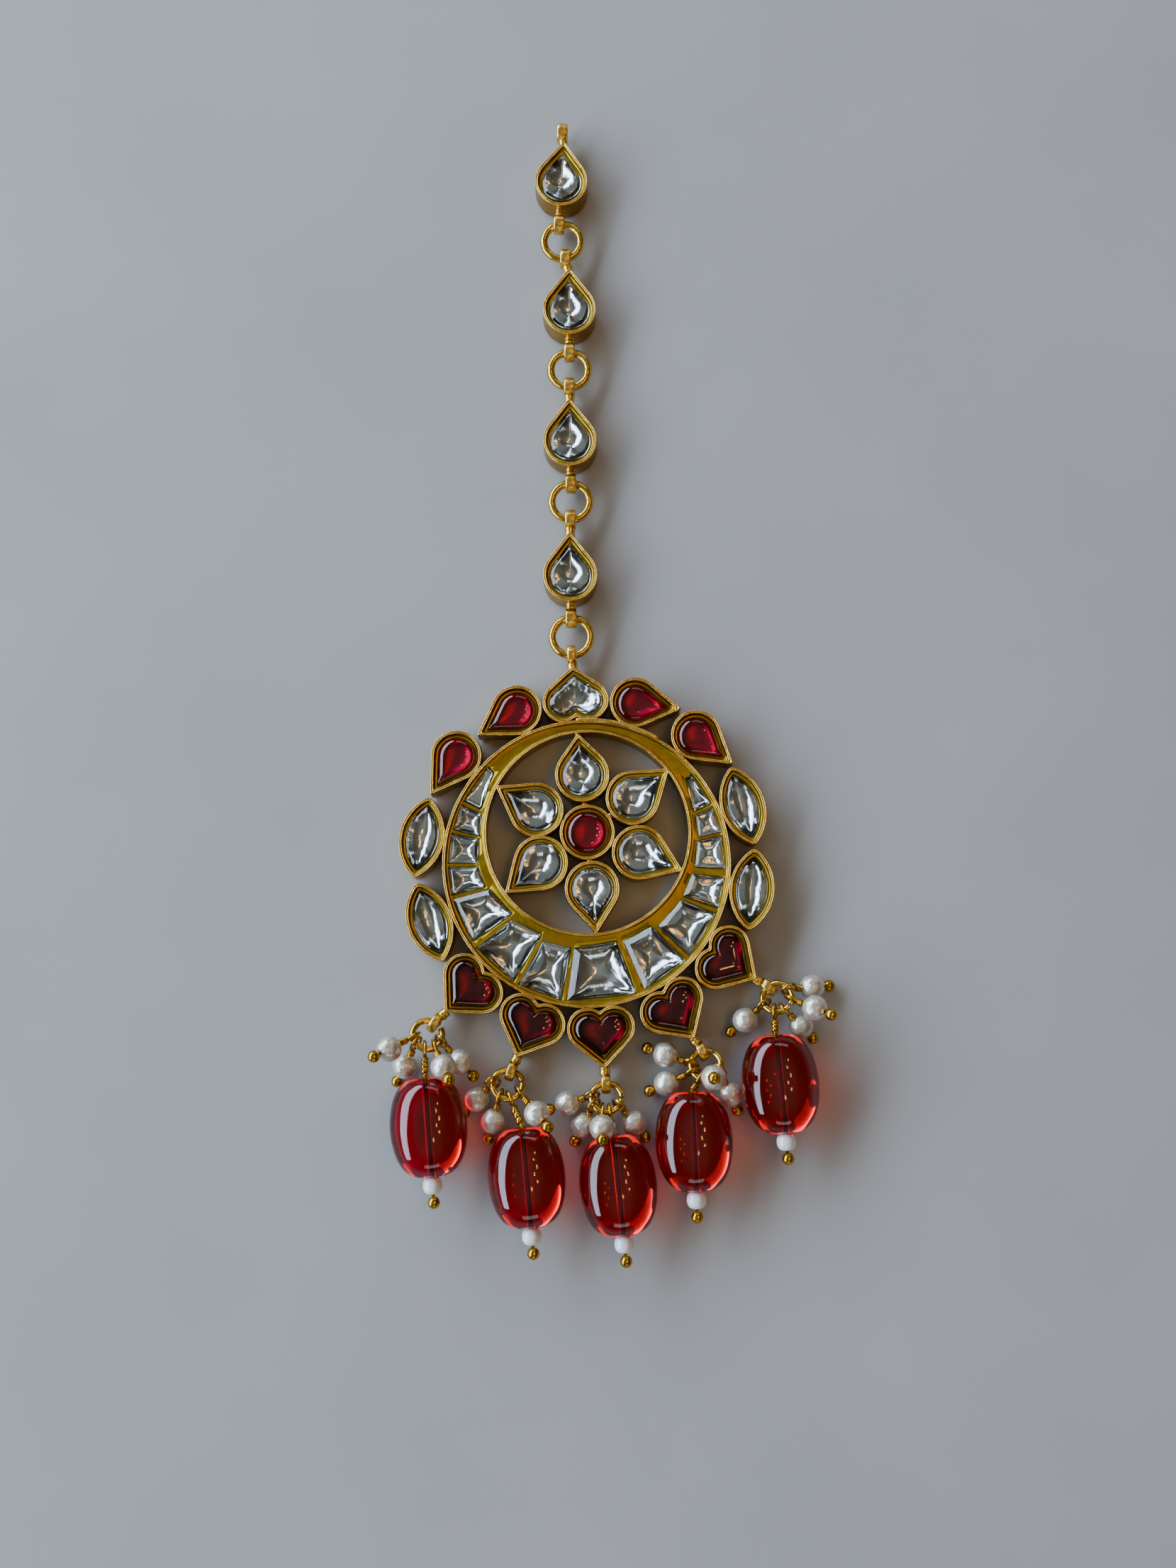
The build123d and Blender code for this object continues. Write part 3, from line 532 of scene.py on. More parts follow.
def crescent_corners(row, grow=0.0):
    """A crescent stone's four corners about its middle, and that middle, in the pendant's own frame."""
    start, end, inner_start, inner_end = row
    corners = []
    for bearing, inner, out in ((start, inner_start, -1), (end, inner_end, 1)):
        for radius in (inner - grow, STONES_REACH + grow):
            corners.append(heading(bearing + out * degrees(grow / radius)) * radius)
    first_inner, first_outer, last_inner, last_outer = corners
    middle = sum(corners, Vector()) / 4
    return [c - middle for c in (first_inner, first_outer, last_outer, last_inner)], middle


def polygon(corners, cuts=1):
    """A straight-sided outline through its corners."""
    def outline(inset):
        ends = corners[1:] + corners[:1]
        return (corners[0].x, corners[0].y), [("run", end.x, end.y, cuts, 0) for end in ends]
    return outline


def ring_line(key):
    """A round outline of the pendant, by its centre and radius."""
    x, y, radius = key
    return (x + radius, y), [("bend", x, y, 120, 360)]


# radius and height of the section, up the outer ring and, about the flower's middle, down the inner one
outer_side = [
    (16.5, 0.0), (16.6, 0.14), (16.6, 1.1), (16.57, 2.2), (16.6, 3.2), (16.57, 3.42), (16.49, 3.51),
    (16.43, 3.48), (16.39, 3.38), (16.35, 3.39), (16.30, 3.47), (16.23, 3.45), (16.19, 3.35), (16.17, 3.05),
    (16.10, 2.95), (15.98, 2.90),
]
inner_side = [
    (12.10, 2.91), (12.02, 2.96), (11.99, 3.06), (11.97, 3.33), (11.92, 3.44), (11.85, 3.46), (11.80, 3.40),
    (11.76, 3.37), (11.71, 3.49), (11.65, 3.50), (11.61, 3.41), (11.60, 3.21), (11.62, 2.21), (11.60, 1.11),
    (11.60, 0.15), (11.72, 0.01),
]
crescent = start_piece("crescent_frame")
crescent_rows = [((0, 0, radius), 1, height) for radius, height in outer_side]
crescent_rows += [((FLOWER_X, FLOWER_Y, radius), 1, height) for radius, height in inner_side]
raise_walls(ring_line, crescent_rows, closed=True)
set_down(crescent, pendant_centre, 90)
hand_work(crescent)
POCKET_PLAY = 0.03  # how far each pocket is cut past its stone
cutters = []
for row in CRESCENT_STONES:
    corners, middle = crescent_corners(row, POCKET_PLAY)
    cutter = start_piece("pocket")
    raise_walls(polygon(corners), [(0, 1, 1.2), (0, 1, 4.2)])
    set_down(cutter, pendant_centre + middle * MM, 90)
    cutters.append(cutter)
join(cutters)
apply_modifier(crescent, "BOOLEAN", object=cutters[0], operation="DIFFERENCE", solver="EXACT")
bpy.data.objects.remove(cutters[0])
gild(crescent)
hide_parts("pendant_frame")
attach(crescent, "root")

# ==== Crescent stones ====
# Squares and wedges of clear glass, each with four bevels up to a table, over a bowl of foil. The
# wider ones stand higher, and those under 4.6 mm have a shallower bowl.
crescent_stones = []
for row in CRESCENT_STONES:
    corners, middle = crescent_corners(row)
    across = min((corners[1] - corners[2]).length, (corners[0] - corners[1]).length)
    rise, depth = 0.075 * across, min(1.0, across / 4.6)
    crown_rows = [(0, 1.0, 2.97), (0, 0.76, 2.99 + rise), (0, 0.4, 3.0 + rise)]
    stone = raise_stone("crescent_stone", polygon(corners, cuts=6), crown_rows, bowl_rows(0, depth))
    smooth_foil(stone)
    set_down(stone, pendant_centre + middle * MM, 90)
    crescent_stones.append(stone)
stones = join(crescent_stones)
stones.name = "crescent_stone_row"
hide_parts("crescent_stones")
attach(stones, "root")

# ==== Pendant: flower ====
# Six clear teardrops round a red cabochon, each in its own strip cup, soldered to the round one in
# the middle and at their tips to the inner ring.
PETAL_WIDTH = 6.4
ROUND_CUP_RADIUS = 3.25
PETALS = [
    # name, bearing, distance, tip_turn, length
    ("1", 95.0, 6.70, 1.0, 8.15),
    ("2", 37.2, 6.60, 1.5, 8.70),
    ("3", -21.5, 6.40, -1.0, 8.70),
    ("4", -85.0, 6.50, 1.0, 8.45),
    ("5", -146.3, 6.40, 7.0, 8.65),
    ("6", 156.2, 6.40, -6.5, 8.75),
]


def add_setting(name, outline, centre, bearing):
    """A strip cup of the pendant in its place."""
    cup = start_piece(name)
    raise_walls(outline, SETTING_PROFILE)
    set_down(cup, centre, bearing)
    hand_work(cup)
    gild(cup)
    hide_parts("pendant_frame")
    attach(cup, "root")
    return cup


for name, bearing, distance, turn, length in PETALS:
    centre = flower_middle + heading(bearing) * distance * MM
    outline = teardrop(PETAL_WIDTH, length)
    add_setting("petal_cup_" + name, outline, centre, bearing + turn)
    add_clear_stone("petal_glass_" + name, outline, centre, bearing + turn, f"petal_{name}_stone")


def round_cup(inset):
    """The round setting's outline."""
    return disc(ROUND_CUP_RADIUS - inset)


add_setting("centre_cup", round_cup, flower_middle, 90)

# Red cabochons are pressed glass, a deep crimson.
ruby_glass, tree = new_material("polished_ruby_glass")
glass = node(tree, "ShaderNodeBsdfPrincipled",
             {"Base Color": linear("#A80046"), "Roughness": 0.03, "IOR": 1.50, "Transmission Weight": 1.0})
node(tree, "ShaderNodeOutputMaterial", {}, {"Surface": glass.outputs["BSDF"]})

# The foil behind them is pink and matt, and it is stained by the lac that it is set in.
pink_foil, tree = new_material("matt_pink_foil")
spot = node(tree, "ShaderNodeTexCoord").outputs["Object"]
stain = node(tree, "ShaderNodeTexNoise", {"Scale": 1 / (2.5 * MM), "Detail": 2.0}, {"Vector": spot})
tone = node(tree, "ShaderNodeMix", {"data_type": "RGBA", 6: linear("#A83454"), 7: linear("#EC8CA6")},
            {0: stain.outputs["Fac"]})
relief = node(tree, "ShaderNodeBump", {"Strength": 0.4, "Distance": 0.04 * MM},
              {"Height": stain.outputs["Fac"]})
metal = node(tree, "ShaderNodeBsdfPrincipled", {"Metallic": 1.0, "Roughness": 0.30},
             {"Base Color": tone.outputs[2], "Normal": relief.outputs["Normal"]})
node(tree, "ShaderNodeOutputMaterial", {}, {"Surface": metal.outputs["BSDF"]})


def add_cabochon(name, outline, centre, bearing, cad_node, backing):
    """A smooth red dome over its backing."""
    dome = [(1.0, 2.93), (0.98, 3.08), (0.92, 3.25), (0.82, 3.42), (0.68, 3.56), (0.50, 3.66), (0.30, 3.72),
            (0.10, 3.74)]
    back = [(0.15, 1.95), (0.60, 2.05), (0.93, 2.32), (0.99, 2.85)]
    stone = raise_stone(name, outline, [(STONE_INSET, size, height) for size, height in dome],
                        [(STONE_INSET, size, height) for size, height in back])
    stone.data.materials[0] = ruby_glass
    stone.data.materials[1] = backing
    for face in stone.data.polygons:
        face.use_smooth = True
    set_down(stone, centre, bearing)
    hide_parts(cad_node)
    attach(stone, "root")


add_cabochon("centre_cabochon", round_cup, flower_middle, 90, "centre_stone", pink_foil)

# ==== Pendant: teardrops and marquises round the crescent ====
# Four red teardrops lie along the top, and four clear marquises down the sides, in cups soldered
# to the outer ring.
TEARDROP_WIDTH, TEARDROP_LENGTH = 5.95, 8.55
MARQUISE_WIDTH, MARQUISE_LENGTH = 5.3, 9.7
BITE = 0.1  # how far each cup's wall reaches into the outer ring's
TEARDROPS = [
    # name, bearing, tip_turn
    ("left_upper", 114.7, 98.5),
    ("left_lower", 140.7, 96.5),
    ("right_upper", 73.2, -81.0),
    ("right_lower", 49.3, -88.0),
]
MARQUISES = [
    # name, bearing, tip_turn
    ("left_upper", 171.5, -91.0),
    ("left_lower", 201.0, -91.5),
    ("right_upper", 19.9, 86.5),
    ("right_lower", -9.4, 94.0),
]


def marquise(width, length):
    """Outline of two arcs that meet at two tips, as a function of its inset."""
    def outline(inset):
        radius = (length**2 + width**2) / (4 * width)
        stand_off = radius - width / 2
        radius -= inset
        reach = sqrt(radius**2 - stand_off**2)
        half = degrees(asin(reach / radius))
        return (0, reach), [("bend", -stand_off, 0, 16, -2 * half), ("bend", stand_off, 0, 16, -2 * half)]
    return outline


for name, bearing, turn in TEARDROPS:
    centre = pendant_centre + heading(bearing) * (CRESCENT_RADIUS + TEARDROP_WIDTH / 2 - BITE) * MM
    outline = teardrop(TEARDROP_WIDTH, TEARDROP_LENGTH)
    add_setting("ruby_cup_" + name, outline, centre, bearing + turn)
    add_cabochon("ruby_cabochon_" + name, outline, centre, bearing + turn, f"ruby_{name}_stone", pink_foil)
for name, bearing, turn in MARQUISES:
    centre = pendant_centre + heading(bearing) * (CRESCENT_RADIUS + MARQUISE_WIDTH / 2 - BITE) * MM
    outline = marquise(MARQUISE_WIDTH, MARQUISE_LENGTH)
    add_setting("marquise_cup_" + name, outline, centre, bearing + turn)
    add_clear_stone("marquise_glass_" + name, outline, centre, bearing + turn, f"marquise_{name}_stone", 0.8)

# ==== Pendant: hearts and crown ====
# Five red hearts hang point down from the crescent, each with an eye for its drop. The crown is a
# clear heart, point up, and its eye takes the chain.
HEART_WIDTH = 7.8
LOBE = 0.615 * HEART_WIDTH / 2  # radius of each of the two lobes
HEART_TO_EYE = 1.6              # tip to the middle of the eye
EYE_POST = 1.9                  # middle of the eye to its post's foot
HEART_EYE_WIDTH = 1.05
HEARTS = [
    # name, bearing, tip_turn, length, eye_turn
    ("heart_1", -132.9, -2.0, 7.05, 9.0),
    ("heart_2", -108.9, -3.8, 7.05, 4.0),
    ("heart_3", -85.0, 0.0, 7.05, -2.0),
    ("heart_4", -59.3, 3.0, 7.05, -8.0),
    ("heart_5", -35.1, 2.5, 7.05, -10.0),
    ("crown", 93.9, 1.0, 6.60, 0.0),
]


def heart(length):
    """Outline of two lobes and straight sides to a tip, as a function of its inset."""
    def outline(inset):
        offset, reach = HEART_WIDTH / 2 - LOBE, length - LOBE
        half_tip = atan2(offset, reach) + asin(LOBE / hypot(offset, reach))
        lobe, reach = LOBE - inset, reach - inset / sin(half_tip)
        tangent = degrees(half_tip)
        notch = degrees(asin(sqrt(lobe**2 - offset**2) / lobe))
        swing = -(180 + tangent - notch)
        return (0, reach), [
            ("run", offset + lobe * cos(half_tip), lobe * sin(half_tip), 9, 0),
            ("bend", offset, 0, 18, swing),
            ("bend", -offset, 0, 18, swing),
            ("run", 0, reach, 9, 0),
        ]
    return outline


# Old lac behind the hearts has gone dark and lets little light back.
lac_backing, tree = new_material("darkened_red_lac")
spot = node(tree, "ShaderNodeTexCoord").outputs["Object"]
stain = node(tree, "ShaderNodeTexNoise", {"Scale": 1 / (1.2 * MM), "Detail": 4.0}, {"Vector": spot})
tone = node(tree, "ShaderNodeMix", {"data_type": "RGBA", 6: linear("#38040F"), 7: linear("#A83A56")},
            {0: stain.outputs["Fac"]})
relief = node(tree, "ShaderNodeBump", {"Strength": 0.4, "Distance": 0.04 * MM},
              {"Height": stain.outputs["Fac"]})
lac = node(tree, "ShaderNodeBsdfPrincipled", {"Metallic": 0.9, "Roughness": 0.25},
           {"Base Color": tone.outputs[2], "Normal": relief.outputs["Normal"]})
node(tree, "ShaderNodeOutputMaterial", {}, {"Surface": lac.outputs["BSDF"]})

eye_places = {}
half_span = degrees(asin((HEART_WIDTH / 2 - LOBE) / (CRESCENT_RADIUS + LOBE)))
for name, bearing, turn, length, eye_turn in HEARTS:
    distance = CRESCENT_RADIUS + LOBE - BITE
    centre = pendant_centre + heading(bearing) * distance * cos(radians(half_span)) * MM
    way = heading(bearing + turn)
    outline = heart(length)
    cup = add_setting(name + "_cup", outline, centre, bearing + turn)
    eye_place = centre + way * (length - LOBE + HEART_TO_EYE) * MM + Vector((0, 0, EYE_HEIGHT * MM))
    eye_places[name] = eye_place
    foot = eye_place - way * EYE_POST * MM
    eye = add_solder_eye(name + "_eye", eye_place, bearing + turn + eye_turn, foot, HEART_EYE_WIDTH)
    join([cup, eye])
    if name == "crown":
        add_clear_stone("crown_glass", outline, centre, bearing + turn, "crown_stone")
    else:
        add_cabochon(name + "_cabochon", outline, centre, bearing + turn, name + "_stone", lac_backing)

# ==== Pendant: solder and seam ====
# Gold solder has run in where the settings touch the rings and each other, and the outer ring's
# strip laps over its own end at the top.
SEAM_RADIUS = 16.55  # where the cups' solder lies, from the crescent's centre
PETAL_SEAM = 3.3     # where a petal's solder lies, from the flower's middle and from the petal's tip
BLOB_ROWS = [(0.55, 0.3), (0.62, 0.6), (0.50, 1.6), (0.46, 2.3), (0.30, 2.75), (0.12, 2.85)]  # radius, height
touches = [pendant_centre + heading(bearing) * SEAM_RADIUS * MM for _, bearing, _ in TEARDROPS + MARQUISES]
for _, bearing, *_ in HEARTS:
    for side in (-half_span, half_span):
        touches.append(pendant_centre + heading(bearing + side) * SEAM_RADIUS * MM)
for _, bearing, distance, turn, length in PETALS:
    tip_seam = heading(bearing) * distance + heading(bearing + turn) * (length - PETAL_SEAM)
    touches += [flower_middle + heading(bearing) * PETAL_SEAM * MM, flower_middle + tip_seam * MM]
blobs = []
for touch in touches:
    blob = start_piece("solder_blob")
    raise_walls(disc, [(radius, 1, height) for radius, height in BLOB_ROWS])
    set_down(blob, touch, 90)
    blobs.append(blob)
solder = join(blobs)
solder.name = "solder_joints"
hand_work(solder, wobble=0.5, dents=0.1)
LAP_START, LAP_END = 94.5, 60  # bearings
LAP_OUTSIDE, LAP_INSIDE = 16.82, 16.4
lap = start_piece("lapped_strip_end")


def lap_line(inset):
    """The lapped end of the strip, seen from above."""
    first, last, sweep = heading(LAP_START), heading(LAP_END), LAP_START - LAP_END
    outer, inner = LAP_OUTSIDE - inset, LAP_INSIDE + inset
    return (first.x * outer, first.y * outer), [
        ("bend", 0, 0, 18, -sweep),
        ("run", last.x * inner, last.y * inner, 1, 0),
        ("bend", 0, 0, 18, sweep),
        ("run", first.x * outer, first.y * outer, 1, 0),
    ]


raise_walls(lap_line, [(0, 1, 0.05), (0, 1, 2.0), (0, 1, 3.3), (0.04, 1, 3.48), (0.10, 1, 3.56)])
set_down(lap, pendant_centre, 90)
hand_work(lap)
# Solder and lap take the paler rim gold, whose paleness is a painted highlight.
for piece in (solder, lap):
    piece.data.materials.append(rim_gold_painted_highlight)
    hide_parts("pendant_frame")
    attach(piece, "root")

# ==== Drops: jump rings ====
# A ring of thick gold wire hangs in each heart's eye, sawn open at one place. It carries all the
# headpins of its drop.
DROPS = [
    # name, ring_bearing, bead_x, bead_y, bead_bearing, pin_place, ring_cut
    ("1", 240, -17.65, -29.70, -85.0, 20, 160),
    ("2", 255, -6.66, -35.18, -84.5, 25, 120),
    ("3", 272, 3.51, -36.02, -84.0, 10, 90),
    ("4", 284, 11.98, -31.25, -88.0, -35, 140),
    ("5", 310, 21.74, -24.96, -85.0, -50, 20),
]
JUMP_RING_RADIUS, JUMP_WIRE = 1.7, 0.36  # to the middle of the wire, and the wire's own radius
JUMP_RING_RISE = 24                      # degrees that a ring climbs from its eye
JUMP_RING_TURN = 348                     # degrees of wire; the rest is the sawn gap
BEAD_HALF_THICKNESS = 3.4                # a bead lies on the card


def set_in_frame(piece, origin, x_way, z_way):
    """Sets a piece in its place by where its X and Z point."""
    matrix = Matrix((x_way, z_way.cross(x_way), z_way)).transposed().to_4x4()
    matrix.translation = origin
    move_mesh(piece, matrix)


jump_rings = {}
for name, bearing, *_, cut in DROPS:
    far = heading(bearing) * cos(radians(JUMP_RING_RISE)) + Vector((0, 0, sin(radians(JUMP_RING_RISE))))
    across = heading(bearing + 90)
    middle = eye_places["heart_" + name] + far * JUMP_RING_RADIUS * MM
    jump_rings[name] = middle, far, across
    ring = wire_ring(f"jump_ring_{name}", JUMP_RING_RADIUS, JUMP_WIRE, turn=JUMP_RING_TURN, steps=58)
    set_in_frame(ring, middle, far * cos(radians(cut)) + across * sin(radians(cut)), far.cross(across))
    uneven(ring, cloud_wobble, 0.08)
    bpy.ops.object.shade_smooth_by_angle(angle=radians(50))
    ring.data.materials.append(wire_gold)
    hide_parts(f"drop_{name}_ring")
    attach(ring, "root")

# ==== Drops: headpins ====
# Soft wire with a ball melted on one end. The other end is bent to a loop on the ring and wound
# back round itself down to the bead.
PEARL_RADIUS = 1.45
PIN_WIRE, PIN_LOOP = 0.19, 0.86  # radius of the wire, and of a loop to the middle of the wire
PIN_GAP = 0.04                   # air between a bead and its wraps
BEAD_REACH = 5.45                # a bead's middle to its end
TIP_BEAD_REACH = 6.4             # a bead's middle to the middle of its tip bead
PEARLS = {
    # the drop: loop_place on the ring, x and y from the ring's middle, height
    "1": [(-50, -4.0, -1.5, 5.0), (-20, -2.6, -3.5, 1.7), (60, 2.1, -3.5, 5.3), (95, 3.7, -3.0, 2.2)],
    "2": [(-80, -3.5, -1.7, 1.6), (-15, -1.6, -4.1, 2.0), (70, 3.4, -3.1, 4.7)],
    "3": [(-100, -4.4, -0.7, 1.8), (-60, -2.6, -3.1, 1.7), (-20, -0.5, -3.1, 5.9), (55, 3.1, -2.9, 1.7)],
    "4": [(-110, -4.5, 1.1, 1.9), (-75, -4.4, -2.1, 1.7), (15, 0.6, -1.3, 6.0), (50, 2.8, -3.3, 1.6)],
    "5": [(-105, -3.6, -2.5, 1.5), (40, 3.9, -1.2, 4.8), (85, 4.1, 1.2, 1.5), (-10, 2.7, -3.2, 1.8)],
}


def shank(name, head):
    """Straight wire up Z to a ball whose middle is at a height, with its lower end just below 0."""
    piece = start_piece(name)
    rows = [(PIN_WIRE, -PIN_WIRE), (PIN_WIRE, head / 2), (PIN_WIRE, head - 0.67), (0.44, head - 0.55),
            (0.62, head - 0.32), (0.70, head), (0.63, head + 0.31), (0.42, head + 0.56), (0.16, head + 0.68)]
    raise_walls(disc, [(radius, 1, height) for radius, height in rows])
    bpy.ops.object.mode_set(mode="OBJECT")
    bpy.ops.object.shade_smooth()
    return piece


def copy_of(piece):
    """Another of a piece, with its own mesh."""
    again = piece.copy()
    again.data = piece.data.copy()
    bpy.context.collection.objects.link(again)
    return again


def ring_place(ring, place):
    """A place on a jump ring's wire, at an angle round it from its far side."""
    middle, far, across = ring
    return middle + (far * cos(radians(place)) + across * sin(radians(place))) * JUMP_RING_RADIUS * MM


pin_loop = wire_ring("pin_loop", PIN_LOOP, PIN_WIRE, steps=32, sides=8)
bpy.ops.object.shade_smooth()

# The wraps are three turns of a finer coil round a core, 1 mm long, and are stretched to each pin.
WRAP_WIRE, WRAP_RADIUS, WRAP_PITCH = 0.14, 0.29, 0.24
pin_wraps = start_piece("pin_wraps")
bpy.ops.mesh.primitive_circle_add(vertices=8, radius=WRAP_WIRE * MM,
                                  location=(WRAP_RADIUS * MM, 0, WRAP_WIRE * MM), rotation=(pi / 2, 0, 0))
bpy.ops.object.mode_set(mode="OBJECT")
apply_modifier(pin_wraps, "SCREW", screw_offset=WRAP_PITCH * MM, iterations=3, steps=14, render_steps=14)
bpy.ops.object.mode_set(mode="EDIT")
bpy.ops.mesh.select_all(action="SELECT")
bpy.ops.mesh.fill_holes(sides=0)
face_outward()
bpy.ops.mesh.select_all(action="DESELECT")
bpy.ops.mesh.primitive_cylinder_add(vertices=10, radius=0.2 * MM, depth=1 * MM, location=(0, 0, 0.5 * MM))
bpy.ops.object.mode_set(mode="OBJECT")
bpy.ops.object.shade_smooth_by_angle(angle=radians(50))
bead_shank = shank("bead_shank", 13.75)
pearl_shank = shank("pearl_shank", 3.68)
pin_gold = gold("antique_gold_wire", "#E6B83A", "#86600F", 0.18, 0.50, 0.010)


def headpin(ring, place, top, way, straight):
    """A headpin: its loop on the ring, its wraps down to the bead's top, and its shank along a way."""
    _, far, across = ring
    spot = ring_place(ring, place)
    along_ring = across * cos(radians(place)) - far * sin(radians(place))
    lean = (top - spot).normalized()
    loop, wraps, straight = copy_of(pin_loop), copy_of(pin_wraps), copy_of(straight)
    set_in_frame(loop, spot, lean, (along_ring - lean * along_ring.dot(lean)).normalized())
    wraps.data.transform(Matrix.Diagonal((1, 1, (top - spot).length / MM - PIN_LOOP, 1)))
    set_on(wraps, spot + lean * PIN_LOOP * MM, lean)
    set_on(straight, top, way)
    return [loop, wraps, straight]


strung = {}
for name, _, bead_x, bead_y, bead_bearing, pin_place, _ in DROPS:
    way = heading(bead_bearing)
    bead_middle = pendant_centre + Vector((bead_x, bead_y, BEAD_HALF_THICKNESS)) * MM
    ring = jump_rings[name]
    pin = headpin(ring, pin_place, bead_middle - way * (BEAD_REACH + PIN_GAP) * MM, way, bead_shank)
    pearl_pins = []
    strung[name] = [(bead_middle + way * TIP_BEAD_REACH * MM, way)]
    for place, x, y, height in PEARLS[name]:
        pearl_middle = Vector((ring[0].x + x * MM, ring[0].y + y * MM, height * MM))
        lean = (pearl_middle - ring_place(ring, place)).normalized()
        pearl_top = pearl_middle - lean * (PEARL_RADIUS + PIN_GAP) * MM
        pearl_pins += headpin(ring, place, pearl_top, lean, pearl_shank)
        strung[name].append((pearl_middle, lean))
    for pieces, title, cad_node in ((pin, "bead_pin_", "pin"), (pearl_pins, "pearl_pins_", "pearl_pins")):
        piece = join(pieces)
        piece.name = title + name
        piece.data.materials.append(pin_gold)
        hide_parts(f"drop_{name}_{cad_node}")
        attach(piece, "root")
for pattern in (pin_loop, pin_wraps, bead_shank, pearl_shank):
    bpy.data.objects.remove(pattern)

# ==== Drops: pearls and tip beads ====
# Pearls of lustrous, slightly wrinkled paste over a round core, each with a dimple where its pin goes
# in, and small white porcelain beads below the glass ones.
PEARL_ROWS = 24
DIMPLE = 0.22
bpy.ops.object.select_all(action="DESELECT")
bpy.ops.mesh.primitive_uv_sphere_add(segments=32, ring_count=PEARL_ROWS, radius=PEARL_RADIUS * MM)
pearl = bpy.context.object
bpy.ops.object.mode_set(mode="EDIT")
for end in (-1, 1):
    pole_rows = [round(PEARL_RADIUS * cos(radians(180 / PEARL_ROWS * k)) * end, 6) for k in (0, 1)]
    select_heights(pole_rows)
    bpy.ops.transform.translate(value=(0, 0, -DIMPLE * end * MM))
bpy.ops.object.mode_set(mode="OBJECT")
apply_modifier(pearl, "SUBSURF", levels=1, render_levels=1)
cloud_wrinkles = bpy.data.textures.new("pearl_wrinkles", "CLOUDS")
cloud_wrinkles.noise_scale = 0.42 * MM
for texture, strength in ((cloud_wobble, 0.14), (cloud_dents, 0.07), (cloud_wrinkles, 0.07)):
    uneven(pearl, texture, strength, coords="LOCAL")
bpy.ops.object.shade_smooth()

tip_bead = start_piece("tip_bead")
tip_rows = [
    # radius, height: up the outside, then down the bore
    (0.36, -0.94), (0.55, -0.95), (0.85, -0.80), (1.07, -0.48), (1.14, 0), (1.07, 0.48), (0.85, 0.80),
    (0.55, 0.96), (0.36, 0.95), (0.28, 0.70), (0.28, -0.70),
]
raise_walls(disc, [(radius, 1, height) for radius, height in tip_rows], closed=True)
bpy.ops.object.mode_set(mode="OBJECT")
apply_modifier(tip_bead, "SUBSURF", levels=1, render_levels=1)
bpy.ops.object.shade_smooth()

# Pearl paste: a hard clear lustre over cream, with fine wrinkles.
pearl_paste, tree = new_material("lustrous_pearl_paste")
spot = node(tree, "ShaderNodeTexCoord").outputs["Object"]
cloudy = node(tree, "ShaderNodeTexNoise", {"Scale": 1 / (1.2 * MM), "Detail": 3.0}, {"Vector": spot})
wrinkles = node(tree, "ShaderNodeTexNoise", {"Scale": 1 / (0.35 * MM), "Detail": 2.0, "Distortion": 2.5},
                {"Vector": spot})
tone = node(tree, "ShaderNodeMix", {"data_type": "RGBA", 6: linear("#A79E86"), 7: linear("#F6F3E8")},
            {0: cloudy.outputs["Fac"]})
relief = node(tree, "ShaderNodeBump", {"Strength": 0.5, "Distance": 0.09 * MM},
              {"Height": wrinkles.outputs["Fac"]})
paste = node(tree, "ShaderNodeBsdfPrincipled",
             {"Roughness": 0.18, "Metallic": 0.60, "Coat Weight": 1.0, "Coat Roughness": 0.08},
             {"Base Color": tone.outputs[2], "Normal": relief.outputs["Normal"]})
node(tree, "ShaderNodeOutputMaterial", {}, {"Surface": paste.outputs["BSDF"]})

# Porcelain: white under a clear glaze that pools a little.
porcelain, tree = new_material("glazed_white_porcelain")
spot = node(tree, "ShaderNodeTexCoord").outputs["Object"]
pooling = node(tree, "ShaderNodeTexNoise", {"Scale": 1 / (0.9 * MM), "Detail": 2.0}, {"Vector": spot})
tone = node(tree, "ShaderNodeMix", {"data_type": "RGBA", 6: linear("#DDE4E8"), 7: linear("#F7FBFF")},
            {0: pooling.outputs["Fac"]})
relief = node(tree, "ShaderNodeBump", {"Strength": 0.3, "Distance": 0.03 * MM},
              {"Height": pooling.outputs["Fac"]})
glaze = node(tree, "ShaderNodeBsdfPrincipled",
             {"Roughness": 0.12, "Coat Weight": 0.8, "Coat Roughness": 0.04},
             {"Base Color": tone.outputs[2], "Normal": relief.outputs["Normal"]})
node(tree, "ShaderNodeOutputMaterial", {}, {"Surface": glaze.outputs["BSDF"]})

pearl.data.materials.append(pearl_paste)
tip_bead.data.materials.append(porcelain)
for name in strung:
    placed = []
    patterns = [tip_bead] + [pearl] * len(PEARLS[name])
    for pattern, (middle, way) in zip(patterns, strung[name]):
        piece = copy_of(pattern)
        set_on(piece, middle, way)
        placed.append(piece)
    placed[0].name = "tip_bead_" + name
    pearls = join(placed[1:])
    pearls.name = "pearls_" + name
    for piece in (placed[0], pearls):
        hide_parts(f"drop_{name}_pearls")
        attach(piece, "root")
for pattern in (pearl, tip_bead):
    bpy.data.objects.remove(pattern)

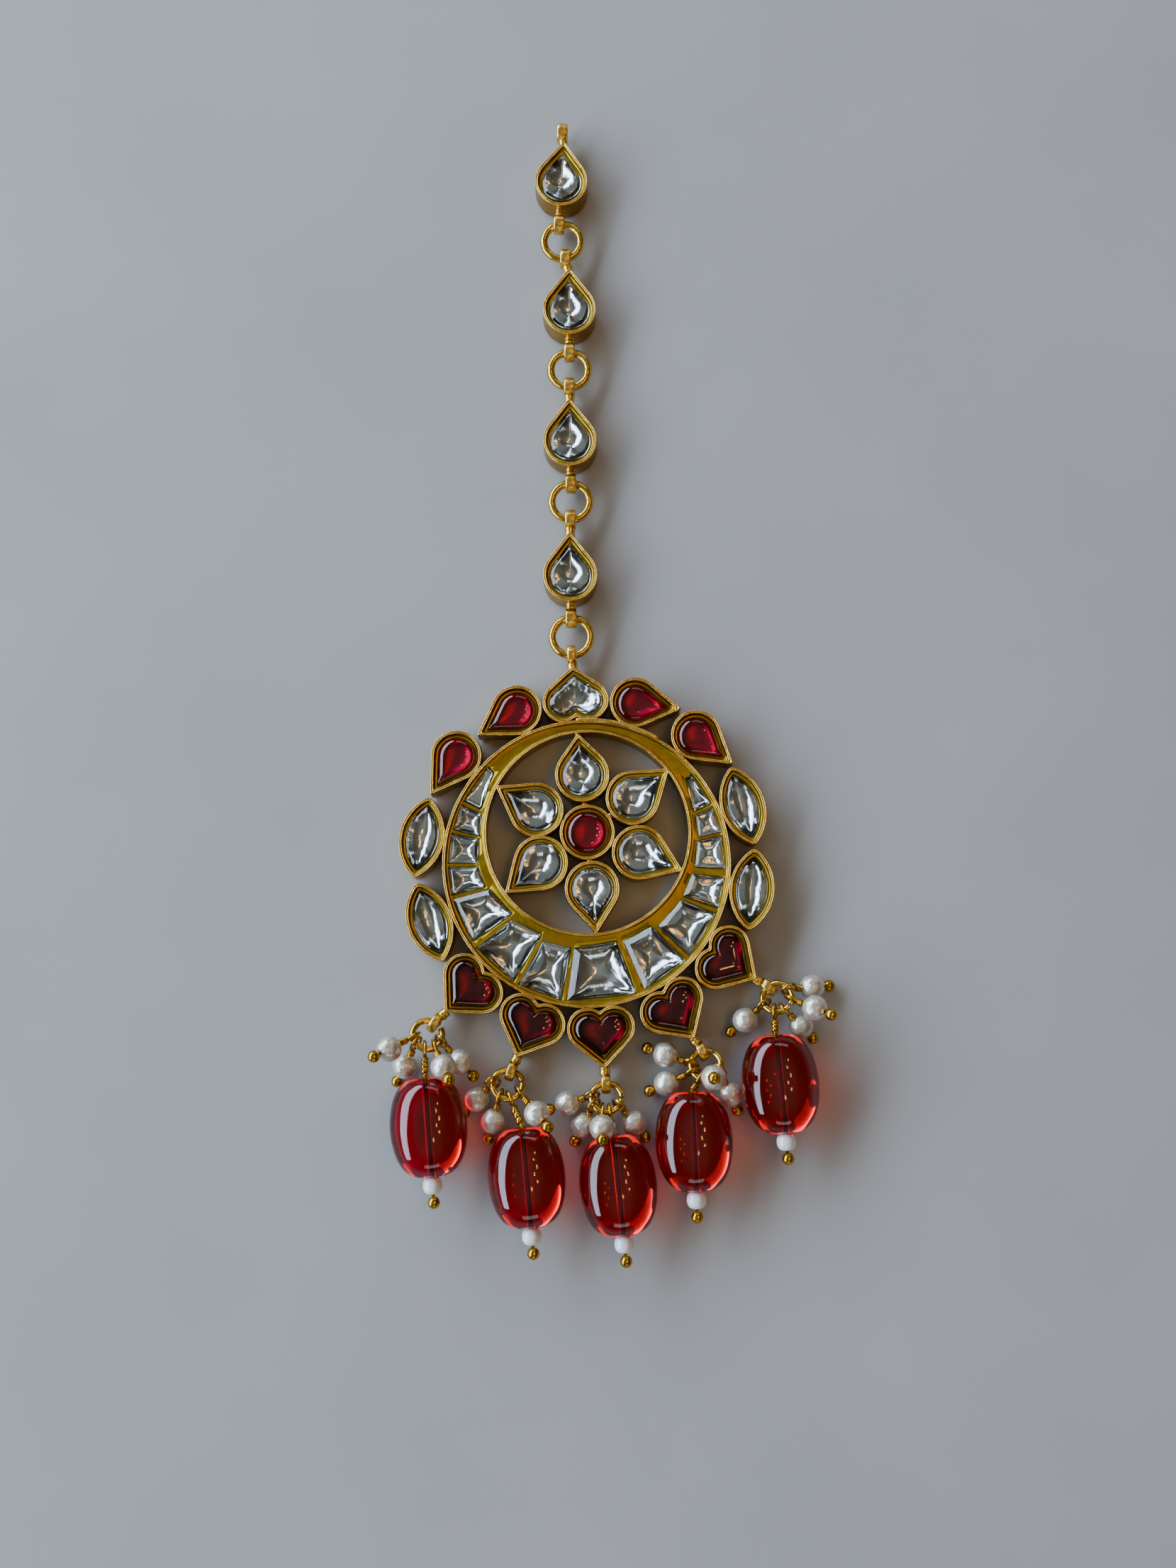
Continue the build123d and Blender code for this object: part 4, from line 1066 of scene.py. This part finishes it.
# ==== Drops: glass beads ====
# Flattened barrels of clear red glass, wound, fire-polished and drilled from end to end.
BEAD_WIDTH = 8.8
BEAD_SHELL = [
    # share of the half thickness, height: up the outside
    (0.30, -5.45), (0.39, -5.40), (0.49, -5.22), (0.60, -4.93), (0.71, -4.50), (0.81, -3.85), (0.90, -2.95),
    (0.96, -1.85), (0.99, -0.8), (1.0, 0.1), (0.99, 0.85), (0.96, 1.84), (0.90, 2.96), (0.81, 3.86),
    (0.71, 4.51), (0.60, 4.94), (0.49, 5.23), (0.39, 5.41), (0.30, 5.46),
]
BEAD_BORE = [
    # radius, height: down the bore, which is countersunk at both ends
    (0.66, 5.38), (0.46, 5.18), (0.34, 4.95), (0.33, 0.05), (0.34, -4.96), (0.46, -5.19), (0.66, -5.39),
]
bead = start_piece("bead")
bead_rows = [(size * BEAD_HALF_THICKNESS, 1, height) for size, height in BEAD_SHELL]
raise_walls(disc, bead_rows + [(radius, 1, height) for radius, height in BEAD_BORE], closed=True)
select_heights([height for _, height in BEAD_SHELL])
bpy.ops.transform.resize(value=(BEAD_WIDTH / (2 * BEAD_HALF_THICKNESS), 1, 1), center_override=(0, 0, 0))
bpy.ops.object.mode_set(mode="OBJECT")
apply_modifier(bead, "SUBSURF", levels=2, render_levels=2)
bpy.ops.object.shade_smooth()

# Red glass that is coloured through, so that it darkens with its thickness. The drill leaves the
# bore matt.
for name, tint, roughness in (("fire_polished_red_glass", "#FF80B0", 0.03),
                              ("drilled_red_glass", "#FFE8F0", 0.2)):
    red_glass, tree = new_material(name)
    glass = node(tree, "ShaderNodeBsdfPrincipled", {"Base Color": linear(tint), "Roughness": roughness,
                                                    "IOR": 1.50, "Transmission Weight": 1.0})
    depth = node(tree, "ShaderNodeVolumeAbsorption", {"Color": linear("#FC06DA"), "Density": 1500.0})
    node(tree, "ShaderNodeOutputMaterial", {},
         {"Surface": glass.outputs["BSDF"], "Volume": depth.outputs["Volume"]})
    bead.data.materials.append(red_glass)
BORE_MATT_RADIUS, BORE_MATT_REACH = 0.6, 5.3  # within these is bore, past them is polished shell
for face in bead.data.polygons:
    off_axis, along = hypot(face.center.x, face.center.y), abs(face.center.z)
    in_bore = off_axis < BORE_MATT_RADIUS * MM and along < BORE_MATT_REACH * MM
    face.material_index = 1 if in_bore else 0
for name, _, bead_x, bead_y, bead_bearing, *_ in DROPS:
    piece = copy_of(bead)
    piece.name = "glass_bead_" + name
    bead_middle = pendant_centre + Vector((bead_x, bead_y, BEAD_HALF_THICKNESS)) * MM
    set_in_frame(piece, bead_middle, heading(bead_bearing - 90), heading(bead_bearing))
    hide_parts(f"drop_{name}_bead")
    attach(piece, "root")
bpy.data.objects.remove(bead)
